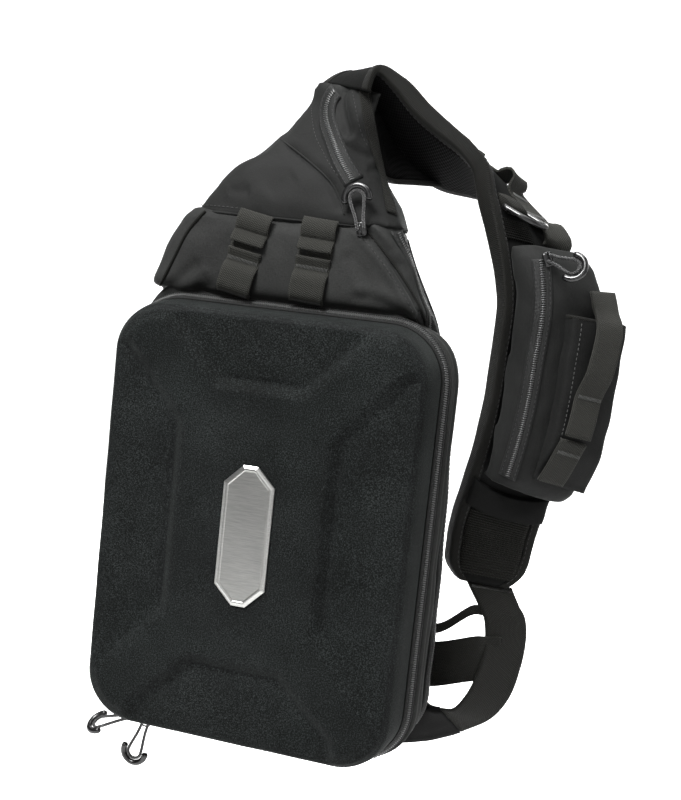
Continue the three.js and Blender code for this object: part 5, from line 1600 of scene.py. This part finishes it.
def make_flap():
    """Folded cloth hem below the pouch: its edges bow down the strap, and it is fullest at its lower edge."""
    start, end, near, far = FLAP
    rings = []
    for share in np.linspace(0, 1, 22):
        upper, lower = [], []
        for a in np.linspace(0, 1, 28):
            bow = FLAP_BOW * (1 - (2 * a - 1) ** 2)
            at = start + (end - start) * share + bow
            half = strap_frame(at)[3]
            side = half * (far + (near - far) * a)
            full = FLAP_THICK * (0.35 + 0.65 * math.sin(math.pi * min(share * 0.62 + 0.2, 1.0)))
            ends = 1 - 0.5 * abs(2 * a - 1) ** 8
            upper.append(on_strap(at, side, OUTER + 1.6 + full * ends))
            lower.append(on_strap(at, side, OUTER + 0.4))
        rings.append(upper + lower[::-1])
    return loft("pouch_hem_flap", rings, STRAP_CLOTH)


def ribbed(spec, thick, rib_pitch):
    """Outline maker for thick cross ribs: the height follows a wave along the strap."""
    start, _, near, far = spec

    def shape(half, at):
        u = np.linspace(far, near, 16)
        wave = abs(math.sin(math.pi * (at - start) / rib_pitch)) ** 0.6
        high = OUTER + 0.3 + thick * (0.45 + 0.6 * wave)
        ends = 0.6 * (np.abs(np.linspace(-1, 1, 16)) ** 8)
        upper = [(half * a, high - b) for a, b in zip(u, ends)]
        return np.array(upper + [(half * a, OUTER) for a in u[::-1]])

    return shape


def make_strap_trim():
    web = web_on_strap("shoulder_webbing", SHOULDER_WEB, SHOULDER_LOOP_RISE, OUTER, WEB_WIDTH)
    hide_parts("shoulder_web")
    for number, (at, side) in enumerate(SHOULDER_TACKS):
        strap_tack(f"shoulder_tack_{number}", at, side, OUTER + 0.5 + WEB_THICK, WEB_WIDTH)
    outline = ribbed(ELASTIC, 2.0, (ELASTIC[1] - ELASTIC[0]) / ELASTIC_RIBS)
    elastic = along_strap("ribbed_elastic_band", *ELASTIC[:2], outline, RIB_CLOTH, "webbing", 180)
    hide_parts("ribbed_elastic")
    hem = make_flap()
    roughen(hem, 0.5, 19, 8.0)
    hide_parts("pouch_hem")
    outline = ribbed(END_BAND, 1.7, END_RIB_PITCH)
    band = along_strap("strap_end_ribs", *END_BAND[:2], outline, DARK_WEB, "webbing", 110)
    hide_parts("strap_end_band")


make_strap_trim()


# Pouch sections: station, near and far edges in shares of its width, height in shares of its depth
POUCH_SECTIONS = [
    (9.35, 0.38, -0.41, 0.55), (9.7, 0.4, -0.44, 0.88), (10.4, 0.41, -0.47, 0.98),
    (11.4, 0.42, -0.52, 1.0), (12.4, 0.42, -0.6, 1.04), (13.3, 0.4, -0.62, 1.04),
    (14.1, 0.38, -0.56, 0.95), (14.4, 0.36, -0.52, 0.6),
]


def arched(marks, count, base_count):
    """Closed outline: a smooth arch through marks, then straight back to its start."""
    line = Line([(u, v, 0) for u, v in marks])
    upper = [line.at(share)[:2] for share in np.linspace(0, 1, count)]
    (near, low), (far, _) = marks[0], marks[-1]
    return np.array(upper + [(far + (near - far) * k / base_count, low) for k in range(1, base_count)])


def pouch_outline(near, far, high):
    near, far = near * POUCH_WIDTH, far * POUCH_WIDTH
    top = POUCH_BASE + high * POUCH_DEPTH
    rise = top - POUCH_BASE
    marks = [(near, POUCH_BASE), (near - 1, POUCH_BASE + rise * 0.35), (near - 6, POUCH_BASE + rise * 0.75),
             (near - 15, top), ((near - 15 + far + 7) / 2, top + 0.6), (far + 7, top),
             (far + 1.5, POUCH_BASE + rise * 0.78), (far, POUCH_BASE + rise * 0.4), (far, POUCH_BASE)]
    return arched(marks, 40, 12)


def make_pouch():
    def outline(_, at):
        return pouch_outline(*table_at(POUCH_SECTIONS, at))

    first, last = POUCH_SECTIONS[0][0], POUCH_SECTIONS[-1][0]
    pouch = along_strap("pouch_cloth", first, last, outline, NYLON, "nylon", 14)
    inflate(pouch, *POUCH_PADDING)
    roughen(pouch, 0.7, 34, 7.0)
    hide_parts("strap_pouch")
    return pouch


pouch = make_pouch()
pouch_tree = surface_of(pouch)
POUCH_ZIP_FROM, POUCH_ZIP_TO, POUCH_ZIP_SIDE = 9.75, 14.1, 17.5
POUCH_ZIP_WIDTH, POUCH_ZIP_SLOPE = 12.0, 0.6


def make_pouch_zip():
    path, sides, drops = [], [], []
    for at in np.linspace(POUCH_ZIP_FROM, POUCH_ZIP_TO, 80):
        _, across, out, _ = strap_frame(at)
        path.append(on_strap(at, POUCH_ZIP_SIDE, POUCH_BASE + 20))
        sides.append(unit(across - out * POUCH_ZIP_SLOPE))
        drops.append(-unit(out + across * POUCH_ZIP_SLOPE))
    sewn_zip("pouch_zip", pouch_tree, path, sides, drops, POUCH_ZIP_WIDTH, 1.3, 1.6, nylon=DARK_COIL,
             above=25)


make_pouch_zip()

POCKET_FROM, POCKET_TO, POCKET_NEAR, POCKET_SLACK = 10.95, 13.95, 0.03, 0.86
POCKET_WALL, POCKET_ARCH = 2.0, 34


def pocket_outline(at, inset):
    """The open pocket's section at a station, at an inset from its outer wall."""
    near = POCKET_NEAR * POUCH_WIDTH - inset
    far = near + 2 * inset - POCKET_WIDTH
    fullness = math.sin(math.pi * (at - POCKET_FROM) / (POCKET_TO - POCKET_FROM))
    foot = 1 - 0.75 * step(at, POCKET_TO - 0.75, POCKET_TO + 0.1)
    top = POCKET_BASE + POCKET_DEPTH * foot * (POCKET_SLACK + (1 - POCKET_SLACK) * max(fullness, 0)) - inset
    low = POCKET_BASE + inset
    high = top - low
    marks = [(near, low), (near - 0.1, low + high * 0.55), (near - 1.2, low + high * 0.88), (near - 6, top),
             ((near + far) / 2, top + 0.4), (far + 6, top), (far + 1.2, low + high * 0.88),
             (far + 0.1, low + high * 0.55), (far, low)]
    return arched(marks, POCKET_ARCH, 10)


def make_pocket():
    """A closed shell whose inside is open at the mouth: outer walls down, then back up inside."""
    stops = np.linspace(POCKET_FROM, POCKET_TO, 46)
    outer = [(at, 0.0) for at in stops]
    inner = [(at, POCKET_WALL) for at in stops[::-1] if at < POCKET_TO - 0.15]
    rings = []
    for at, inset in outer[::-1] + [(POCKET_FROM, POCKET_WALL * 0.5)] + inner[::-1]:
        wave = 0.35 * rough((at * 20, inset, 0), 30, 2.0)
        rings.append([on_strap(at, u, v + wave) for u, v in pocket_outline(at, inset)])
    pocket = loft("pocket_cloth", rings, POCKET_CLOTH)
    roughen(pocket, 0.5, 26, 9.0)
    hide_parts("outer_pocket")
    spots, normals = [], []
    for at in np.linspace(POCKET_FROM + 0.06, POCKET_TO - 0.3, 40):
        high = pocket_outline(at, 0.0)[:POCKET_ARCH, 1].max()
        spots.append(on_strap(at, POCKET_NEAR * POUCH_WIDTH - 6, high + 0.5))
        normals.append(strap_frame(at)[2])
    stitch_row("pocket_edge_stitches", np.array(spots), np.array(normals), 1.9, 3.3, 0.6, PALE_THREAD)
    mouth = POCKET_FROM + 0.02
    hem = [on_strap(mouth, u, v) for u, v in pocket_outline(mouth, POCKET_WALL * 0.4)[:POCKET_ARCH]]
    tube("pocket_mouth_hem", softened(hem, 2), 1.5, BINDING, 10)


make_pocket()
POCKET_WEB = [
    (10.25, -0.79, -0.98), (10.7, -0.76, -0.6), (11.2, -0.7, 0.2), (11.8, -0.61, 0.35),
    (12.3, -0.52, 0.02), (12.65, -0.46, 0.2), (12.98, -0.41, 0.3),
]
POCKET_WEB_LOW = [
    (13.06, -0.39, 0.12), (13.2, -0.37, 0.0), (13.4, -0.33, -0.1), (13.65, -0.29, -0.25),
    (13.9, -0.26, -0.5),
]
POCKET_TACKS = [(12.3, -0.52, 0.03), (13.3, -0.35, -0.03)]


def make_pocket_web():
    top = POCKET_BASE + POCKET_DEPTH
    for label, rows in (("upper", POCKET_WEB), ("lower", POCKET_WEB_LOW)):
        web = web_on_strap("pocket_webbing_" + label, rows, POCKET_DEPTH, top, POCKET_WEB_WIDTH)
        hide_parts("pocket_ladder")
    for number, (at, side, out) in enumerate(POCKET_TACKS):
        high = top + 0.55 + WEB_THICK + out * POCKET_DEPTH
        strap_tack(f"pocket_tack_{number}", at, side, high, POCKET_WEB_WIDTH)


make_pocket_web()


# Wide webbing at the strap's foot: swing beyond the body's side, depth, height, turn and tilt
FOOT_STATIONS = [
    (0.79, 0.98, 0.86, 135, 7), (0.925, 0.92, 0.78, 133, 4), (1.0, 0.77, 0.63, 132.5, 4),
    (0.974, 0.55, 0.45, 133, 6.5), (0.865, 0.32, 0.28, 135, 9), (0.65, 0.16, 0.15, 130, 17),
    (0.32, 0.0, 0.09, 114, 38),
]
FOOT_SWING, FOOT_DEEP = 43.0, 31.0
WING_THICK = 4.0


def foot_lines():
    middle, across, _, half = strap_frame(STRAP_END)
    start = middle - across * 0.26 * half + strap_line.way(1) * 0.8
    places = [start] + [V(BODY_WIDTH / 2 + x * FOOT_SWING, y * FOOT_DEEP, z * middle[2])
                        for x, y, z, *_ in FOOT_STATIONS]
    twists = [(144, 9, 0)] + [(turn, tilt, 0) for *_, turn, tilt in FOOT_STATIONS]
    return Line(places), Line(twists)


foot_line, foot_twist = foot_lines()


def foot_frame(share):
    """Middle, width direction and outward direction of the wide webbing, at a share of its length."""
    turn, tilt, _ = foot_twist.at(share)
    across = turned(turn, tilt)
    return foot_line.at(share), across, unit(np.cross(across, foot_line.way(share)))


def make_foot():
    frames = zip(*[foot_frame(share) for share in np.linspace(0, 1, 90)])
    web = ribbon("strap_foot_webbing", *frames, WIDE_WEB_WIDTH, WIDE_WEB_THICK, WIDE_WEB, "webbing", 16)
    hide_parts("strap_webbing")
    centre, across, out = foot_frame(0.035)
    centre = centre + out * (WIDE_WEB_THICK / 2 + 0.1)
    tack_row("strap_foot_tack", centre, across, WIDE_WEB_WIDTH, out, PALE_THREAD)
    centre, across, out = foot_frame(1.0)
    way = foot_line.way(1.0)
    corner = V(BODY_WIDTH / 2 - 16, BODY_BACK - 2, CASE_BASE + 12)
    sewn_across = turned(40, 62)
    sewn_out = unit(np.cross(sewn_across, V(-1, -0.1, -0.1)))
    shape = tape_section(WIDE_WEB_WIDTH, WING_THICK, 12)
    rings = []
    for t in np.linspace(0, 1, 18):
        s = step(t, 0, 1)
        spot = (centre + way * 0.3) * (1 - t) + corner * t
        a, o = unit(across * (1 - s) + sewn_across * s), unit(out * (1 - s) + sewn_out * s)
        puff = 1 + 0.5 * math.sin(math.pi * t)
        rings.append([spot + a * u + o * v * puff for u, v in shape])
    wing = loft("corner_wing_cloth", rings, STRAP_CLOTH)
    roughen(wing, 0.5, 22, 4.0)
    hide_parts("corner_wing")


# Bands behind the bag: height, share of the foot's webbing where they join it, z, and start in half widths
BAND_LIFT = 1.2
BACK_BANDS = [("back_belt", 34.0, 0.52, 47.0, 0.5), ("back_tie", 7.0, 0.2, 74.0, 0.72)]


def make_back_bands():
    for name, height, share, z, start in BACK_BANDS:
        middle, across, out = foot_frame(share)
        edge, half = WIDE_WEB_WIDTH / 2, BODY_WIDTH / 2
        marks = [V(half * start, BAND_LIFT, z), V(half * 0.8, BAND_LIFT, z),
                 V(half * 0.97, BAND_LIFT + 0.8, z + 1)]
        under = middle - out * (WIDE_WEB_THICK / 2 + BAND_LIFT)
        path = smooth_path(marks + [under + across * side for side in (edge + 6, edge - 4, 2)], 2.0)
        outs = np.cross(units(np.gradient(path, axis=0) * (1, 1, 0)), Z)
        band = ribbon(name + "_webbing", path, [Z] * len(path), outs, height, 1.8, DARK_WEB, "webbing", 12)
        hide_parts(name)


# Back panel's edge: how far inside its outline, and y
BACK_PROFILE = [(0.0, -8.0), (0.0, -5.0), (0.4, -3.4), (1.4, -2.2), (3.0, -1.3), (6.0, -0.6), (12.0, -0.2),
                (30.0, 0.0), (70.0, 0.0)]


def make_back_panel():
    heights = np.linspace(CASE_BASE + 4.01, HEM_Z - 4, 70)
    right = [(body_sides(z)[1] - 4, z) for z in heights]
    left = [(body_sides(z)[0] + 4, z) for z in heights[::-1]]
    outline = spaced([(u, 0, z) for u, z in right + left], 7.0, True)
    middle = V(0, 0, CASE_MID)
    rings = []
    for shrink, y in BACK_PROFILE:
        ring = []
        for p in outline:
            away = p - middle
            length = np.linalg.norm(away)
            ring.append(middle + away * (1 - shrink / length) + Y * y)
        rings.append(ring)
    panel = loft("back_panel_mesh", rings, PANEL_MESH)
    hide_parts("back_panel")


# D-ring: station, place across the strap, lean off it in degrees, width and length
D_RING_AT, D_RING_SIDE, D_RING_LEAN, D_RING_WIDTH, D_RING_LENGTH = 8.4, 14.0, 30.0, 28.0, 28.0
TAB_WIDTH, TAB_LENGTH, TAB_THICK = 17.0, 15.0, 1.5


def on_circle(radius, degrees):
    return radius * math.cos(math.radians(degrees)), radius * math.sin(math.radians(degrees))


def make_d_ring():
    _, across, out, _ = strap_frame(D_RING_AT)
    along = strap_line.way(D_RING_AT / STRAP_END)
    high = TAB_THICK + 0.3 + RING_WIRE / 2
    foot = on_strap(D_RING_AT, D_RING_SIDE, OUTER + 0.3)
    ahead, rise = on_circle(1, D_RING_LEAN)
    reach = along * ahead + out * rise
    half = (D_RING_WIDTH - RING_WIRE) / 2
    bend = D_RING_LENGTH - RING_WIRE - half
    marks = [(share * half, 0) for share in (-0.9, 0, 0.9)] + [(half, 1.5), (half, bend * 0.6)]
    marks += [(u, bend + v) for u, v in (on_circle(half, d) for d in range(0, 181, 20))]
    marks += [(-half, bend * 0.6), (-half, 1.5)]
    path = smooth_path([foot + out * high + across * u + reach * v for u, v in marks], 1.2, True)
    ring = tube("d_ring_wire", path, RING_WIRE / 2, RING_PLASTIC, 16, closed=True)
    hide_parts("d_ring")
    outline = [(-TAB_LENGTH, 0.0), (-1.0, 0.0)]
    outline += [(u, high + v) for u, v in (on_circle(high, d) for d in range(-75, 91, 15))]
    outline += [(-TAB_LENGTH * 0.4, high * 1.7), (-TAB_LENGTH, TAB_THICK + 0.4)]
    rings, weave = [], []
    for u in np.linspace(-TAB_WIDTH / 2, TAB_WIDTH / 2, 13):
        inset = 0.25 * (abs(u) / (TAB_WIDTH / 2)) ** 6
        rings.append([foot + across * u + along * a + out * max(b - inset, 0) for a, b in outline])
        weave.append([(u, a, b) for a, b in outline])
    tab = loft("d_ring_loop_webbing", rings, DARK_WEB, weave=weave)
    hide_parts("d_ring_tab")
    centre = foot - along * TAB_LENGTH * 0.72 + out * (TAB_THICK + 1.7)
    tack_row("d_ring_tack", centre, across, TAB_WIDTH, out, THREAD)


make_foot()
make_back_bands()
make_back_panel()
make_d_ring()


# Studio, in metres: the floor lies below the hanging bag and curves up behind it
FLOOR_DROP = 0.24
FLOOR_GLOW = 0.8
FLOOR_NEAR, FLOOR_FAR, FLOOR_CURVE, FLOOR_FLAT = -1.0, 2.2, 1.6, 0.6


def make_studio():
    material = Nodes("pale_floor")
    grain = material.noise(9, 3, 0.5)
    color = material.ramp(grain, [(0.3, (0.82, 0.82, 0.82)), (0.7, (0.84, 0.84, 0.84))])
    pale = material.finish(color, 0.75)
    rays = material.tree.nodes.new("ShaderNodeLightPath")
    material.shader.inputs["Emission Color"].default_value = (1, 1, 1, 1)
    glow = material.math("MULTIPLY", rays.outputs["Is Camera Ray"], FLOOR_GLOW)
    material.link(glow, material.shader.inputs["Emission Strength"])
    floor_z = float(cad_box[0][2]) - FLOOR_DROP
    rows = []
    for along in np.linspace(0, 1, 40):
        if along < FLOOR_FLAT:
            rows.append((FLOOR_NEAR + along / FLOOR_FLAT * (FLOOR_FAR - FLOOR_NEAR), floor_z))
        else:
            a = (along - FLOOR_FLAT) / (1 - FLOOR_FLAT) * math.pi / 2
            rows.append((FLOOR_FAR + FLOOR_CURVE * math.sin(a), floor_z + FLOOR_CURVE * (1 - math.cos(a))))
    rows.append((FLOOR_FAR + FLOOR_CURVE, floor_z + 5))
    mesh = bpy.data.meshes.new("studio_floor")
    points = [(x, y, z) for y, z in rows for x in (-6, 6)]
    faces = [(2 * i, 2 * i + 1, 2 * i + 3, 2 * i + 2) for i in range(len(rows) - 1)]
    mesh.from_pydata(points, [], faces)
    mesh.polygons.foreach_set("use_smooth", [True] * len(mesh.polygons))
    mesh.materials.append(pale)
    floor = bpy.data.objects.new("studio_floor", mesh)
    scene.collection.objects.link(floor)


def area_light(name, spot, aim, size, power):
    data = bpy.data.lights.new(name, "AREA")
    data.shape = "RECTANGLE"
    data.size, data.size_y = size
    data.energy = power
    light = bpy.data.objects.new(name, data)
    scene.collection.objects.link(light)
    way = Vector(aim) - Vector(spot)
    light.location = spot
    light.rotation_euler = way.to_track_quat("-Z", "Y").to_euler()
    light.visible_camera = False


make_studio()
area_light("key", (-0.5, -1.4, 1.65), (0, 0, -0.2), (0.9, 0.9), 150)
area_light("front_fill", (0.7, -2.2, 0.1), (0, 0, -0.25), (2.2, 1.6), 16)
area_light("right_rim", (1.7, 0.3, 0.5), (0.05, 0, -0.25), (0.8, 1.6), 9)
area_light("top_soft", (0.1, 0.2, 1.6), (0, 0, -0.1), (1.6, 1.2), 34)
area_light("back_soft", (-0.5, 2.0, 0.0), (0, 0, -0.25), (1.8, 1.2), 50)

# The surroundings look white, but light the object only a little, so that its blacks stay deep
WORLD_SEEN, WORLD_LIGHT = 1.0, 0.12


def make_world():
    world = bpy.data.worlds.new("white_world")
    world.use_nodes = True
    tree = world.node_tree
    rays = tree.nodes.new("ShaderNodeLightPath")
    level = tree.nodes.new("ShaderNodeMath")
    level.operation = "MULTIPLY_ADD"
    tree.links.new(rays.outputs["Is Camera Ray"], level.inputs[0])
    level.inputs[1].default_value = WORLD_SEEN - WORLD_LIGHT
    level.inputs[2].default_value = WORLD_LIGHT
    background = tree.nodes["Background"]
    background.inputs["Color"].default_value = (1, 1, 1, 1)
    tree.links.new(level.outputs[0], background.inputs["Strength"])
    scene.world = world


make_world()
scene.render.engine = "CYCLES"
scene.view_settings.view_transform = "Standard"
scene.view_settings.look = "None"
